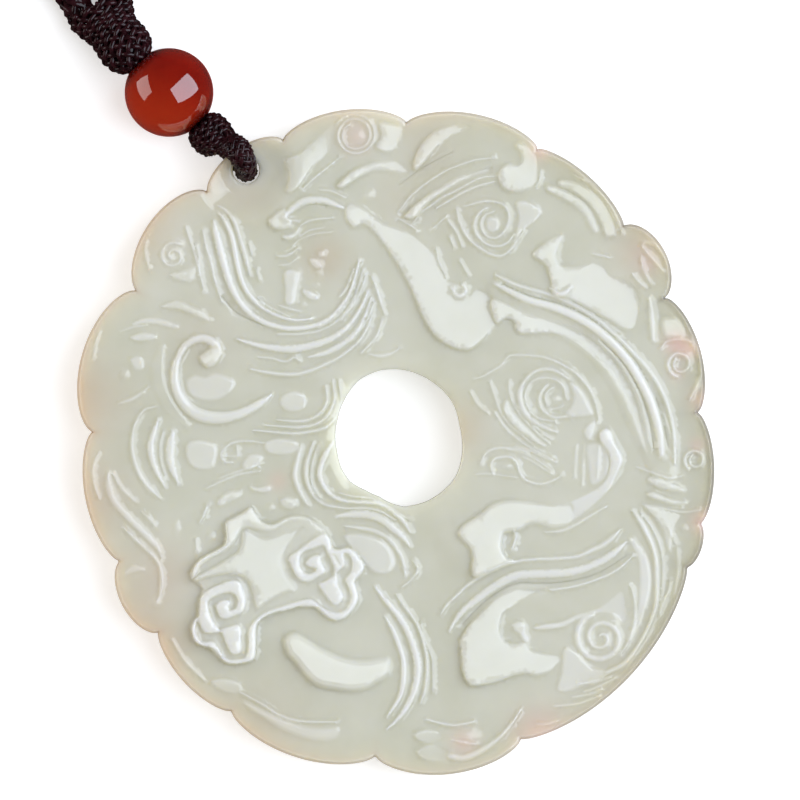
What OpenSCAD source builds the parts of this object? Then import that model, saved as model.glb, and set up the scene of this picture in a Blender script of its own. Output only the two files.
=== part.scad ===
// Carved jade pendant on a braided neck cord, lying face up.
// The axis of the middle hole is the Z axis, the flat back is at z = 0,
// and +Y points from the middle hole to the cord hole in the rim.

/* [Stone] */
// Width of the stone, across the drawing of its carving
disc_w = 57.2; // [50:0.1:64]
// Height of the stone, along the drawing of its carving
disc_h = 60.5; // [53:0.1:67]
// Height of the ground between the carved forms
ground_z = 4.3; // [3.8:0.1:5]
// Height of the tallest carved form above the ground
relief_h = 2.3; // [1.2:0.1:3]
// Height of the widest line of the rounded rim
rim_z = 2.3; // [1.8:0.1:2.8]
// Height of the plain collar round the middle hole
collar_z = 3.8; // [3:0.1:4.2]
// Width of the plain collar round the middle hole
collar_w = 0.5; // [0.3:0.1:1]
// Width over which the carving rises from the collar
collar_rise = 1.6; // [1:0.1:2.5]
// Height of the face's outer edge above the rim's widest line
face_lip = 0.75; // [0.5:0.05:1]
// Diameter of the middle hole
hole_d = 11.8; // [9:0.1:14]
// Turn from the drawing's upright to the cord hole
hang_turn = 30; // [20:1:40]

/* [Cord hole] */
// Diameter of the cord hole
cord_hole_d = 2.4; // [2.2:0.1:2.8]
// Stone left between the cord hole and the rim
bridge_w = 0.9; // [0.7:0.1:1.4]
// Height of the stone's face beside the cord hole
ear_z = 4.6; // [4.2:0.1:5]
// Width of the plain ear round the cord hole
ear_w = 1.4; // [1:0.1:2.5]
// Width over which the ear blends into the carving
ear_blend = 4.3; // [3:0.1:6]
// Height of the cord's seat cut into the back under the bridge
seat_h = 2.4; // [2.2:0.1:2.7]

/* [Hanger] */
// Distance between the rim and the small knots
rim_clear = 1.5; // [1.3:0.1:2.4]
// Diameter of the strand through the cord hole
strand_d = 1.8; // [1.6:0.1:1.9]
// Width of the small knots between the stone and the bead
small_knot_w = 4.1; // [3.6:0.1:4.6]
// Lean of the hanger to the left of +Y
hanger_lean = 14.7; // [8:0.1:20]
// Distance from the cord hole to the middle of the bead
bead_reach = 9.85; // [9.6:0.05:12]
// Width of the thick knot above the bead
big_knot_w = 5.2; // [4.4:0.1:5.6]
// Length of the thick knot above the bead
big_knot_l = 5.4; // [4:0.1:7]

/* [Bead] */
// Diameter of the bead
bead_d = 8; // [6:0.1:9]
// Diameter of the hole through the bead
bead_bore_d = 2.3; // [2:0.1:3]
// Gap between the bead and the thread in it
thread_gap = 0.15; // [0.1:0.05:0.3]

/* [Neck cord] */
// Width of the loop as it is laid
loop_w = 172; // [140:1:200]
// Length of the loop as it is laid, from the thick knot to the closing knot
loop_l = 225; // [190:1:260]
// Distance of the loop's middle line to the right of the thick knot
loop_shift = 2; // [0:0.5:6]
// Diameter of the braided cord
cord_d = 3.2; // [2.6:0.1:3.6]
// Diameter of the closing knot
closing_d = 6.4; // [5.5:0.1:8]
// Length of the closing knot
closing_l = 13; // [8:0.5:18]

/* [Hidden] */

// Smallest gap kept between two pieces
gap = 0.12;
// Smoothness of the drilled holes and of the bead
smooth = 96;
jade_color = [0.80, 0.81, 0.74];
agate_color = [0.56, 0.09, 0.04];
cord_color = [0.13, 0.07, 0.08];

// Middle of the stone's outline, seen from the axis of the middle hole:
// x and y in per cent of disc_w and disc_h
OFFSET = [-0.63, -0.89];
disc_offset = [OFFSET[0] * disc_w, OFFSET[1] * disc_h] / 100;

// Sectors of the carved face, and rings from the collar to the rim
sectors = 160;
rings = 27;
// A cord tube has this many sides, and this many rings to a span of its route
tube_sides = 8;
span_steps = 2;
// How far a cut runs past the surface that it opens
past = 1;

// The rim's lobes, turning left from the drawing's right-hand side.
// Columns: angle where the lobe starts, radius in the notch there and
// rise of the lobe above its notches, both in per cent of the stone's half size
LOBES = [
    [5.5, 95.4, 4.6],
    [27, 95.1, 6.4],
    [42, 96.5, 2.7],
    [63, 98.2, 4.4],
    [88, 95.3, 4.5],
    [111.5, 96.9, 4.8],
    [128.5, 95.4, 7.3],
    [151, 93.4, 7.9],
    [178, 95.6, 4.6],
    [202, 93.8, 5.2],
    [217, 93.7, 3.3],
    [237, 95.1, 4.6],
    [266, 93.3, 5.3],
    [294, 96.4, 3.7],
    [338, 98.8, 2.5],
    [346, 98.8, 3.5],
];
// Fullness of a lobe: below 0.5 it is squarer, above it is more pointed
lobe_fullness = 0.6;

// The raised forms of the carving, drawn as strokes of changing width.
// Columns: height in per cent of relief_h, flatness of the top (2 is round, 6 is flat)
// and the stroke's points. Columns of a point: x, y and half width,
// all in per cent of the stone's half size, from the middle of its outline.
// Dragon: neck plate, brow, skull, jaw and the sweeps of its mane
DRAGON = [
    [100, 6, [[-15, 70, 3], [-3, 62, 7], [7, 53, 11], [14, 42, 13], [23, 34, 10], [32, 36, 4]]],
    [90, 3, [[-40, 66, 5], [-30, 71, 7], [-19, 71, 5]]],
    [75, 2, [[-31, 58, 13], [-25, 52, 12]]],
    [70, 3, [[-35, 47, 6], [-26, 42, 5]]],
    [65, 3, [[-58, 67, 4], [-55, 54, 5], [-47, 42, 5], [-33, 35, 5], [-19, 40, 5], [-10, 52, 4]]],
    [50, 3, [[-66, 60, 4], [-60, 45, 4], [-49, 33, 4], [-33, 27, 5], [-18, 31, 5], [-8, 43, 4]]],
    [60, 3, [[0, 68, 5], [11, 77, 6], [23, 82, 6], [33, 83, 4]]],
    [90, 4, [[37, 79, 4.5], [39, 86, 2]]],
    [70, 2, [[23, 62, 5], [30, 65, 8], [38, 68, 4]]],
];
// Body of the dragon: haunch, long band, tie and the ribs on the right
BODY = [
    [100, 5, [[45, 59, 3], [53, 54, 6], [66, 47, 10], [75, 41, 6]]],
    [70, 4, [[32, 47, 5], [45, 41, 6], [58, 31, 7], [69, 17, 7], [77, 2, 7], [84, -8, 5]]],
    [60, 3, [[80, 36, 4], [84, 24, 6], [85, 10, 6], [86, -6, 5]]],
    [80, 3, [[78, -14, 6], [92, -14, 5]]],
    [60, 3, [[77, -21, 5], [82, -36, 6], [81, -52, 6], [74, -66, 4]]],
    [80, 2, [[49, 13, 10]]],
    [60, 3, [[26, 12, 4], [30, 23, 4], [42, 27, 3], [56, 21, 3], [63, 9, 3]]],
    [50, 3, [[35, 12, 4], [50, -1, 4]]],
    [60, 2, [[34, -6, 7]]],
];
// Legs and tail on the lower right
LEGS = [
    [100, 5, [[64, 3, 2], [70, -4, 4], [66, -13, 6], [52, -20, 5], [36, -20, 5],
        [25, -26, 10], [20, -33, 8]]],
    [60, 4, [[14, -53, 4], [23, -44, 6], [33, -38, 6], [57, -34, 6], [73, -27, 4]]],
    [100, 6, [[26, -47, 5], [25, -58, 9], [30, -64, 9], [42, -64, 6], [51, -63, 3]]],
    [65, 2, [[64, -58, 10]]],
    [60, 2, [[9, -89, 3], [20, -90, 5], [33, -85, 4], [41, -79, 3]]],
    [35, 2, [[50, -76, 7], [62, -72, 5]]],
];
// Beast's face on the lower left: skull, brows, nose plate, nostrils, belly and lip
BEAST = [
    [65, 2, [[-48, -29, 19]]],
    [90, 2, [[-58, -28, 5]]],
    [90, 2, [[-40, -20, 5]]],
    [95, 6, [[-44, -33, 10], [-40, -45, 12]]],
    [100, 4, [[-27, -37, 9], [-21, -44, 6]]],
    [100, 4, [[-54, -49, 9], [-51, -60, 6]]],
    [95, 2, [[-28, -67, 19], [-11, -65, 18]]],
    [50, 2, [[-48, -76, 4], [-36, -84, 5], [-19, -89, 5]]],
    [75, 3, [[1, -47, 4], [9, -57, 5], [12, -66, 5], [9, -75, 5], [2, -82, 4]]],
    [55, 3, [[-20, 1, 4], [-23, -10, 5], [-18, -18, 6], [-8, -23, 6], [2, -28, 5]]],
];
// Hook curl, clouds and strands on the left, and the swellings of the rim's lobes
CLOUDS = [
    [95, 4, [[-59, 26, 3.5], [-61, 31, 3], [-68, 27, 2.5], [-70, 19, 2.8], [-66, 11, 3.2],
        [-58, 7, 3.6], [-49, 8, 3.2], [-43, 12, 2]]],
    [60, 2, [[-61, 16, 4], [-56, 16, 5]]],
    [50, 3, [[-77, 6, 4], [-73, -12, 4], [-74, -30, 4]]],
    [45, 3, [[-90, -8, 4], [-84, -23, 5], [-74, -37, 4]]],
    [45, 3, [[-84, 33, 3], [-73, 36, 3]]],
    [50, 2, [[-52, -4, 6], [-40, -3, 5]]],
    [35, 2, [[-70, 56, 10], [-72, 66, 8]]],
    [35, 2, [[-88, 20, 9]]],
    [45, 2, [[-13, 91, 8]]],
    [45, 3, [[51, 79, 4], [61, 71, 5], [67, 62, 4]]],
    [40, 2, [[79, 53, 7]]],
    [40, 2, [[89, 23, 6]]],
    [35, 2, [[-88, -33, 6]]],
];
STROKES = concat(DRAGON, BODY, LEGS, BEAST, CLOUDS);

// The stone's profile at the rim, in per cent of the half size: where the face
// starts to fall, the width of the rounded lip, and where the flat back starts
fall_start = 84;
lip_w = 2.4;
back_end = 93;
// Steps of the rounded lip. Columns: share of lip_w inside the rim, and share of the
// height from the rim's widest line to the face's outer edge
LIP = [0.25, 0.55];
// The same for the back's rounding, with the height as a share of rim_z
BACK = [0.83, 0.42];

// Height of the cord hole's place above the axis of the middle hole
hole_y = outline_reach(90 + hang_turn) - bridge_w - cord_hole_d / 2;
bead_z = bead_d / 2;
thread_d = bead_bore_d - 2 * thread_gap;
// Width of each knot where it meets the bead, as a share of the knot's width
small_mouth = 0.6;
big_mouth = 0.56;
// How far along the hanger each knot starts and ends, from the cord hole
small_end = bead_reach - bead_seat(small_mouth * small_knot_w);
small_start = cord_hole_d / 2 + bridge_w + rim_clear;
small_l = small_end - small_start;
// Height of the small knots where they start, as a share of the height at the bead
knot_dip = 0.9;
small_z = knot_dip * bead_z;
big_start = bead_reach + bead_seat(big_mouth * big_knot_w);

// The small knots' sections. Columns: share of their length, and width as a share of small_knot_w
SMALL_SECTIONS = [
    [0, 0.9], [0.14, 0.98], [0.28, 0.92], [0.42, 0.76], [0.56, 0.9], [0.7, 1],
    [0.84, 0.92], [0.94, 0.76], [1, small_mouth],
];
// The big knot's sections. Columns: share of its length, width and height as shares of big_knot_w
BIG_SECTIONS = [
    [0, big_mouth, big_mouth], [0.08, 0.78, 0.76], [0.2, 0.94, 0.9], [0.36, 1, 0.94], [0.52, 0.96, 0.9],
    [0.68, 0.94, 0.82], [0.84, 1.08, 0.74], [1, 1.2, 0.66],
];
// The rim strand's way round the bridge, in shares of strand_d.
// Columns: reach from the rim's edge, and height above the upper line
OVER_RIM = [[0.28, -0.28], [-0.11, -0.06], [-0.56, 0]];
// Columns: reach from the cord hole's axis, and height above the upper line
INTO_HOLE = [[0.2, -0.25], [0, -0.72]];
// Columns: reach from the cord hole's axis, and height above the lower line
OUT_OF_HOLE = [[0, 0.53], [0.2, 0.14]];
// Columns: reach from the rim's edge, and height above the lower line
UNDER_RIM = [[-0.6, 0], [0.08, 0], [0.36, 0.14]];
// The big knot bends from the hanger's line to straight along +Y, where the two runs part.
// Its end is this share of cord_d above the surface
knot_end_rise = 0.75;
knot_end = hanger_point(big_start, knot_end_rise * cord_d) + big_knot_l * lean_way(hanger_lean / 2);
straight = lean_way(0);

// Route of the neck cord's right-hand run, from the thick knot to the closing knot.
// Columns: x in per cent of half of loop_w, and y in per cent of loop_l
RIGHT_ROUTE = [
    [3, 2.4], [10, 7], [21, 13], [38, 20], [58, 29], [78, 39], [93, 50],
    [100, 63], [95, 76], [79, 87], [53, 95], [26, 99],
];
// Route of the left-hand run, the same way round
LEFT_ROUTE = [
    [-5, 2.4], [-11, 7], [-22, 13], [-38, 20], [-59, 29.5], [-79, 39.5], [-94, 51],
    [-100, 64], [-94, 77], [-78, 88], [-52, 95.5], [-25, 99.3],
];
// Half the height of a tube that rests on one of its flat sides
rest_z = cord_d / 2 * cos(180 / tube_sides);
// Middle line of the loop, and the closing knot at its far end
loop_x = knot_end[0] + loop_shift;
loop_y = knot_end[1];
closing_at = [loop_x, loop_y + loop_l, closing_d / 2];

// Shared functions
function unit(v) = v / norm(v);
function mix(a, b, t) = a + (b - a) * t;
function bound(v, low, high) = min(max(v, low), high);
function flat(lists) = [for (list = lists) each list];
// Level direction that leans to the left of +Y, and a place on the hanger's line
function lean_way(lean) = [-sin(lean), cos(lean), 0];
function hanger_point(reach, z) = [0, hole_y, z] + reach * lean_way(hanger_lean);

// Rise of the bead's curved end where a mouth of this width meets it, from the bead's middle
function bead_seat(mouth_d) = sqrt(pow(bead_d / 2, 2) - pow(mouth_d / 2, 2)) + gap;

// Radius of the scalloped outline in per cent, at a stretched angle of the drawing
function lobe_at(a) =
    let (turned = a < LOBES[0][0] ? a + 360 : a)
    max([for (i = [0:len(LOBES) - 1])
        let (
            here = LOBES[i],
            last = i == len(LOBES) - 1,
            next = last ? LOBES[0] : LOBES[i + 1],
            next_a = next[0] + (last ? 360 : 0)
        )
        if (turned >= here[0] && turned <= next_a)
            let (t = (turned - here[0]) / (next_a - here[0]))
            mix(here[1], next[1], t) + here[2] * pow(4 * t * (1 - t), lobe_fullness)
    ]);

// A point of the drawing at an angle and a share of the half size, from the middle hole's axis
function outline_point(a, share) =
    disc_offset + share * [disc_w / 2 * cos(a), disc_h / 2 * sin(a)];

// How far the outline lies from the middle hole's axis in a direction of the drawing
function outline_reach(a) = norm(outline_point(a, lobe_at(a) / 100));

// Lift of one segment of a stroke at a place given in per cent
function segment_lift(x, y, p, q, lift, flatness) =
    let (
        run = q[0] - p[0],
        rise = q[1] - p[1],
        span = run * run + rise * rise,
        t = span > 0 ? bound(((x - p[0]) * run + (y - p[1]) * rise) / span, 0, 1) : 0,
        w = p[2] + (q[2] - p[2]) * t,
        near = norm([x - p[0] - run * t, y - p[1] - rise * t]) / w
    )
    near < 1 ? lift * (1 - pow(near, flatness)) : 0;

// Lift of one whole stroke; a stroke of one point is a dome
function stroke_lift(x, y, s) =
    let (path = s[2])
    len(path) == 1 ? segment_lift(x, y, path[0], path[0], s[0], s[1]) :
    max([for (i = [0:len(path) - 2]) segment_lift(x, y, path[i], path[i + 1], s[0], s[1])]);

function carving(x, y) = max([for (s = STROKES) stroke_lift(x, y, s)]) / 100;

// Height of the carved face at a place of the drawing, where edge is the
// distance to the outline in per cent of the half size
function face_z(p, edge) =
    let (
        place = p - disc_offset,
        x = place[0] / disc_w * 200,
        y = place[1] / disc_h * 200,
        from_hole = norm(p) - hole_d / 2 - collar_w,
        collar = bound(from_hole / collar_rise, 0, 1),
        fall = bound((edge - fall_start) / (100 - fall_start), 0, 1),
        open_z = ground_z + relief_h * carving(x, y) * (1 - fall * fall),
        rim_fall = (ground_z - rim_z - face_lip) * fall * fall,
        z = mix(collar_z, open_z, collar) - rim_fall,
        ear_at = hole_y * [cos(90 + hang_turn), sin(90 + hang_turn)],
        ear = bound(1 - (norm(p - ear_at) - cord_hole_d / 2 - ear_w) / ear_blend, 0, 1)
    )
    mix(z, ear_z, ear);

// One ring of the stone: a share of the way from the hole to the outline, in per cent
function stone_ring(share, z, inner) = [for (i = [0:sectors - 1])
    let (
        a = i * 360 / sectors,
        rim = outline_point(a, lobe_at(a) / 100),
        start = inner * [cos(a), sin(a)],
        p = mix(start, rim, share / 100)
    )
    [p[0], p[1], z < 0 ? face_z(p, share) : z]
];

// Faces between rings of points, closed from the last ring to the first when wrapped
function band_faces(count, sides, wrapped) = [
    for (i = [0:count - (wrapped ? 1 : 2)], j = [0:sides - 1])
        let (
            here = i * sides,
            there = ((i + 1) % count) * sides,
            k = (j + 1) % sides
        )
        each [[here + j, there + k, here + k], [here + j, there + j, there + k]]
];

// The whole stone before it is drilled: face rings outward, then the rim and the back inward
module stone_blank() {
    inner = hole_d / 2 - collar_w;
    first = 100 * 2 * collar_w / (disc_w / 2 - inner);
    all_rings = concat(
        [stone_ring(0, collar_z, inner)],
        [for (i = [0:rings]) stone_ring(mix(first, 100 - lip_w, i / rings), -1, inner)],
        [stone_ring(100 - LIP[0] * lip_w, rim_z + LIP[1] * face_lip, inner)],
        [stone_ring(100, rim_z, inner)],
        [stone_ring(100 - BACK[0] * lip_w, rim_z * BACK[1], inner)],
        [stone_ring(back_end, 0, inner)],
        [stone_ring(0, 0, inner)]
    );
    polyhedron(points = flat(all_rings), faces = band_faces(len(all_rings), sectors, true));
}

// The seat that lets the cord pass under the bridge without lifting the stone
module cord_seat() {
    seat_r = cord_hole_d / 2;
    seat_l = cord_hole_d + bridge_w + 2 * past;
    translate([0, hole_y, 0]) rotate([0, 0, hanger_lean]) {
        translate([0, 0, seat_h - seat_r]) rotate([-90, 0, 0]) cylinder(h = seat_l, r = seat_r, $fn = smooth);
        translate([-seat_r, 0, -past]) cube([2 * seat_r, seat_l, seat_h - seat_r + past]);
    }
}

module jade_disc() color(jade_color) difference() {
    cut_h = ground_z + relief_h + 2 * past;
    rotate([0, 0, -hang_turn]) stone_blank();
    translate([0, 0, -past]) cylinder(h = cut_h, d = hole_d, $fn = smooth);
    translate([0, hole_y, -past]) cylinder(h = cut_h, d = cord_hole_d, $fn = smooth);
    cord_seat();
}

// A smooth curve through the points of a route
function curve_point(a, b, c, d, t) =
    0.5 * (2 * b + (c - a) * t + (2 * a - 5 * b + 4 * c - d) * t * t + (3 * b - a - 3 * c + d) * t * t * t);
function curve(points, steps) =
    let (last = len(points) - 1)
    concat(
        [for (i = [0:last - 1], s = [0:steps - 1])
            curve_point(points[max(i - 1, 0)], points[i], points[i + 1],
                points[min(i + 2, last)], s / steps)],
        [points[last]]
    );

// Direction of a route at one of its points
function heading(points, i) = unit(points[min(i + 1, len(points) - 1)] - points[max(i - 1, 0)]);

// Rings of a tube along a route. Width is across the given side, height along the other way
function tube_ring(p, ahead, side, width, height) =
    let (up = cross(side, ahead))
    [for (k = [0:tube_sides - 1])
        let (a = 360 * (k + 0.5) / tube_sides)
        p + side * width / 2 * cos(a) + up * height / 2 * sin(a)
    ];

function level_side(ahead) = unit(cross(ahead, [0, 0, 1]));

module tube(tube_rings) {
    count = len(tube_rings);
    sides = tube_sides;
    polyhedron(
        points = flat(tube_rings),
        faces = concat(
            band_faces(count, sides, false),
            [[for (k = [0:sides - 1]) k]],
            [[for (k = [sides - 1:-1:0]) (count - 1) * sides + k]]
        )
    );
}

// A stretch of the rim strand's way, from a table of shares of strand_d
function way_part(table, y, z) = [for (p = table) [0, y + p[0] * strand_d, z + p[1] * strand_d]];

// Places a piece on the hanger's line: local +Y runs from the cord hole to the bead
module on_hanger() translate([0, hole_y, 0]) rotate([0, 0, hanger_lean]) children();

// The strand's way round the bridge, in the upright plane of the hanger
module rim_loop() {
    strand_r = strand_d / 2;
    under_z = seat_h - strand_r - gap;
    over_z = ear_z + strand_r + gap;
    out_y = small_start - gap;
    rim_y = cord_hole_d / 2 + bridge_w;
    leg = strand_r + gap / 2;
    side = [1, 0, 0];
    way = concat(
        [[0, out_y, small_z + leg]],
        way_part(OVER_RIM, rim_y, over_z),
        way_part(INTO_HOLE, 0, over_z),
        [[0, 0, (over_z + under_z) / 2]],
        way_part(OUT_OF_HOLE, 0, under_z),
        way_part(UNDER_RIM, rim_y, under_z),
        [[0, out_y, small_z - leg]]
    );
    last = len(way) - 1;
    color(cord_color) on_hanger() tube([for (i = [0:last])
        let (ahead = i == 0 ? [0, -1, 0] : i == last ? [0, 1, 0] : heading(way, i))
        tube_ring(way[i], ahead, side, strand_d, strand_d)
    ]);
}

module lower_knots() {
    color(cord_color) on_hanger() tube([for (s = SMALL_SECTIONS)
        tube_ring([0, small_start + small_l * s[0], mix(small_z, bead_z, s[0])], [0, 1, 0], [1, 0, 0],
            small_knot_w * s[1], small_knot_w * s[1])
    ]);
}

module bead_thread() {
    color(cord_color) on_hanger() translate([0, small_end + gap, bead_z]) rotate([-90, 0, 0])
        cylinder(h = big_start - small_end - 2 * gap, d = thread_d, $fn = smooth);
}

module agate_bead() {
    color(agate_color) on_hanger() translate([0, bead_reach, bead_z]) rotate([-90, 0, 0]) difference() {
        sphere(d = bead_d, $fn = smooth);
        cylinder(h = 2 * bead_d, d = bead_bore_d, center = true, $fn = smooth);
    }
}

// Middle line of the thick knot, at the shares of its sections
function knot_way() =
    let (
        start = hanger_point(big_start, bead_z),
        a = start + big_knot_l / 3 * lean_way(hanger_lean),
        b = knot_end - big_knot_l / 3 * straight
    )
    [for (s = BIG_SECTIONS)
        let (t = s[0], r = 1 - t)
        r * r * r * start + 3 * r * r * t * a + 3 * r * t * t * b + t * t * t * knot_end
    ];

module upper_knot() {
    way = knot_way();
    last = len(way) - 1;
    color(cord_color) tube([for (i = [0:last])
        let (ahead = i == 0 ? lean_way(hanger_lean) : i == last ? straight : heading(way, i))
        tube_ring(way[i], ahead, level_side(ahead),
            big_knot_w * BIG_SECTIONS[i][1], big_knot_w * BIG_SECTIONS[i][2])
    ]);
}

// A run of the neck cord starts beside its twin at the thick knot and ends at the closing knot
function run_route(points, hand) =
    let (
        beside = hand * (cord_d / 2 + gap / 2) * level_side(straight),
        start = [knot_end[0], knot_end[1], rest_z] + gap * straight + beside,
        stop = closing_at + [hand * (closing_l / 2 + gap), 0, 0]
    )
    concat(
        [start, start + cord_d / 2 * straight],
        [for (p = points) [loop_x + p[0] / 200 * loop_w, loop_y + p[1] / 100 * loop_l, rest_z]],
        [stop]
    );

module neck_run(points, hand) {
    path = curve(run_route(points, hand), span_steps);
    last = len(path) - 1;
    color(cord_color) tube([for (i = [0:last])
        let (ahead = i == 0 ? straight : i == last ? [-hand, 0, 0] : heading(path, i))
        tube_ring(path[i], ahead, level_side(ahead), cord_d, cord_d)
    ]);
}

module neck_cord_left() neck_run(LEFT_ROUTE, -1);
module neck_cord_right() neck_run(RIGHT_ROUTE, 1);

// The closing knot is a plain wrapped barrel with rounded shoulders
module closing_knot() {
    shoulder = closing_d / 6;
    barrel_r = closing_d / 2;
    round_r = barrel_r - shoulder;
    round_y = closing_l / 2 - shoulder;
    color(cord_color) translate(closing_at) rotate([0, 90, 0])
        rotate_extrude($fn = smooth) polygon(concat(
            [[0, -closing_l / 2]],
            [for (a = [-90:15:0]) [round_r + shoulder * cos(a), shoulder * sin(a) - round_y]],
            [for (a = [0:15:90]) [round_r + shoulder * cos(a), round_y + shoulder * sin(a)]],
            [[0, closing_l / 2]]
        ));
}

jade_disc();
rim_loop();
lower_knots();
bead_thread();
agate_bead();
upper_knot();
neck_cord_left();
neck_cord_right();
closing_knot();
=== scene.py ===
from math import atan2, cos, degrees, pi, radians, sin, sqrt, tau

import bmesh
import bpy
import numpy as np
from mathutils import Matrix, Vector
from mathutils.geometry import delaunay_2d_cdt


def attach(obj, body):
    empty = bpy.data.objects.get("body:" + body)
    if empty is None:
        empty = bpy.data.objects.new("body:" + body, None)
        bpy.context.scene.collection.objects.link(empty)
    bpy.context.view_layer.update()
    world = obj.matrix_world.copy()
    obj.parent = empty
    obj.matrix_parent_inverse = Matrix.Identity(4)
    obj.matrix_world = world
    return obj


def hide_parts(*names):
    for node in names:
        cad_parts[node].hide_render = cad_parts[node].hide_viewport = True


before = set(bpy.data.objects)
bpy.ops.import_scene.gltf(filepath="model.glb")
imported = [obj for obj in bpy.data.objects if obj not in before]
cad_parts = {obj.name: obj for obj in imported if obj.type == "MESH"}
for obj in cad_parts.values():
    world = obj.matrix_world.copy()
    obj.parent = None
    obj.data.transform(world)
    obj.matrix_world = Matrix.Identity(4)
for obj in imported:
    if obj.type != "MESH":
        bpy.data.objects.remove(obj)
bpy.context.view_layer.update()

MM = 0.001
# Corners this near to each other, in metres, are one
WELD = 1e-7
# The carving is drawn in px of 0.09 mm, x to the right and y down,
# and the middle hole's axis is at this place of the drawing
PX = 0.09
AXIS = np.array([400.0, 437.0])
# The drawing is turned by this much to bring the cord hole to +Y
HANG_TURN = radians(30)


def to_part(x, y):
    """Turns a place of the drawing into the part's own x and y, in mm."""
    across = (x - AXIS[0]) * PX
    up = (AXIS[1] - y) * PX
    c, s = cos(HANG_TURN), sin(HANG_TURN)
    return across * c + up * s, up * c - across * s


def to_drawing(x, y):
    """Turns a place of the part, in mm, into a place of the drawing."""
    c, s = cos(HANG_TURN), sin(HANG_TURN)
    return AXIS[0] + (x * c - y * s) / PX, AXIS[1] - (x * s + y * c) / PX


# The picture's middle in the drawing, its width and the height of the face that it shows, in mm
PICTURE_MIDDLE = (400.0, 400.0)
PICTURE_W = 72.0
FACE_HEIGHT = 5.0
# How far the camera is from that face, in metres
CAMERA_RISE = 2.0


def add_camera():
    data = bpy.data.cameras.new("camera")
    data.sensor_width = 36.0
    data.lens = data.sensor_width * CAMERA_RISE / (PICTURE_W * MM)
    data.clip_start = 0.01
    data.clip_end = 20.0
    camera = bpy.data.objects.new("camera", data)
    x, y = to_part(*PICTURE_MIDDLE)
    camera.location = (x * MM, y * MM, FACE_HEIGHT * MM + CAMERA_RISE)
    camera.rotation_euler = (0.0, 0.0, -HANG_TURN)
    bpy.context.collection.objects.link(camera)
    bpy.context.scene.camera = camera


add_camera()


class Wire:
    """A socket of a shader. Sums on it add Math nodes."""

    def __init__(self, finish, socket):
        self.finish, self.socket = finish, socket

    def sum(self, operation, a, b):
        return self.finish.add("ShaderNodeMath", {"operation": operation}, {0: a, 1: b})

    def __add__(self, other):
        return self.sum("ADD", self, other)

    def __rsub__(self, other):
        return self.sum("SUBTRACT", other, self)

    def __mul__(self, other):
        return self.sum("MULTIPLY", self, other)

    __radd__, __rmul__ = __add__, __mul__


class Finish:
    """A material with one glossy shader, and one method that adds any other node."""

    def __init__(self, name):
        self.material = bpy.data.materials.new(name)
        self.material.use_nodes = True
        self.tree = self.material.node_tree
        self.shader = self.tree.nodes["Principled BSDF"]

    def join(self, sockets, values):
        for key, value in values.items():
            if isinstance(value, Wire):
                self.tree.links.new(value.socket, sockets[key])
            else:
                sockets[key].default_value = value

    def add(self, kind, settings, values, out=0):
        """Adds a node: its settings, then the values or links of its sockets, by name or place."""
        node = self.tree.nodes.new(kind)
        for name, value in settings.items():
            setattr(node, name, value)
        self.join(node.inputs, values)
        return Wire(self, node.outputs[out])

    def set(self, **named):
        self.join(self.shader.inputs, {key.replace("_", " "): value for key, value in named.items()})
        return self.material

    def mix(self, factor, body, colour):
        return self.add("ShaderNodeMix", {"data_type": "RGBA"}, {0: factor, 6: body, 7: colour}, out=2)

    def layers(self, body, *rows):
        """Lays colours over a first one, each as far as its factor lets it."""
        body = (*body, 1)
        for factor, colour in rows:
            body = self.mix(factor, body, (*colour, 1))
        return body

    def noise(self, scale, detail, rough):
        places = self.add("ShaderNodeTexCoord", {}, {}, out=3)
        values = {"Vector": places, "Scale": scale, "Detail": detail, "Roughness": rough}
        return self.add("ShaderNodeTexNoise", {}, values)

    def between(self, value, low, high):
        """Stretches a value so that its low and high levels become 0 and 1."""
        return self.add("ShaderNodeMapRange", {}, {0: value, 1: low, 2: high})

    def attribute(self, name, out=0):
        return self.add("ShaderNodeAttribute", {"attribute_name": name}, {}, out)

    def channels(self, name):
        """The three channels of a colour attribute."""
        first = self.add("ShaderNodeSeparateColor", {}, {0: self.attribute(name)})
        return [Wire(self, socket) for socket in first.socket.node.outputs]


def jade_finish():
    f = Finish("polished_jade")
    warm, pink, painted_light = f.channels("tint")
    lip = f.attribute("tint", out=3)
    cloud = f.between(f.noise(110, 4, 0.55), 0.35, 0.7)
    veins = f.between(f.noise(420, 2, 0.5), 0.45, 0.75)
    body = f.layers(
        (0.585, 0.58, 0.475),
        (cloud, (0.635, 0.63, 0.54)),
        (veins * 0.25, (0.67, 0.665, 0.59)),
        # Painted shade in the cuts and at the rim
        (f.between(painted_light, 0.5, 0), (0.20, 0.20, 0.165)),
        # Painted highlight on the carving's crests, bands and flat forms
        (f.between(painted_light, 0.5, 1), (0.80, 0.80, 0.79)),
        (warm, (0.57, 0.455, 0.345)),
        (pink, (0.72, 0.50, 0.44)))
    return f.set(Base_Color=body, Roughness=lip * 0.7 + 0.05, IOR=1.52, Subsurface_Weight=1,
                 Subsurface_Scale=3 * MM, Subsurface_Radius=(1, 0.95, 0.7))


def agate_finish():
    f = Finish("red_agate")
    end_shade, painted_glow, rim = f.channels("depth")
    cloud = f.between(f.noise(160, 4, 0.6), 0.35, 0.7)
    body = f.layers(
        (0.15, 0.002, 0.0003),
        (cloud, (0.23, 0.006, 0.001)),
        # Painted glow, where light would shine through the bead
        (painted_glow, (0.42, 0.026, 0.004)),
        # Painted shade at both ends of the bore
        (end_shade, (0.04, 0.001, 0.0005)),
        # Painted light on the edge round the bead's middle height
        (rim * 0.5, (0.55, 0.05, 0.02)))
    return f.set(Base_Color=body, Roughness=rim * 0.7 + 0.04, IOR=1.56, Subsurface_Weight=0.3,
                 Subsurface_Scale=1.5 * MM, Subsurface_Radius=(1, 0.2, 0.1),
                 Coat_Weight=1 - rim, Coat_Roughness=0.02, Coat_IOR=1.56)


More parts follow.
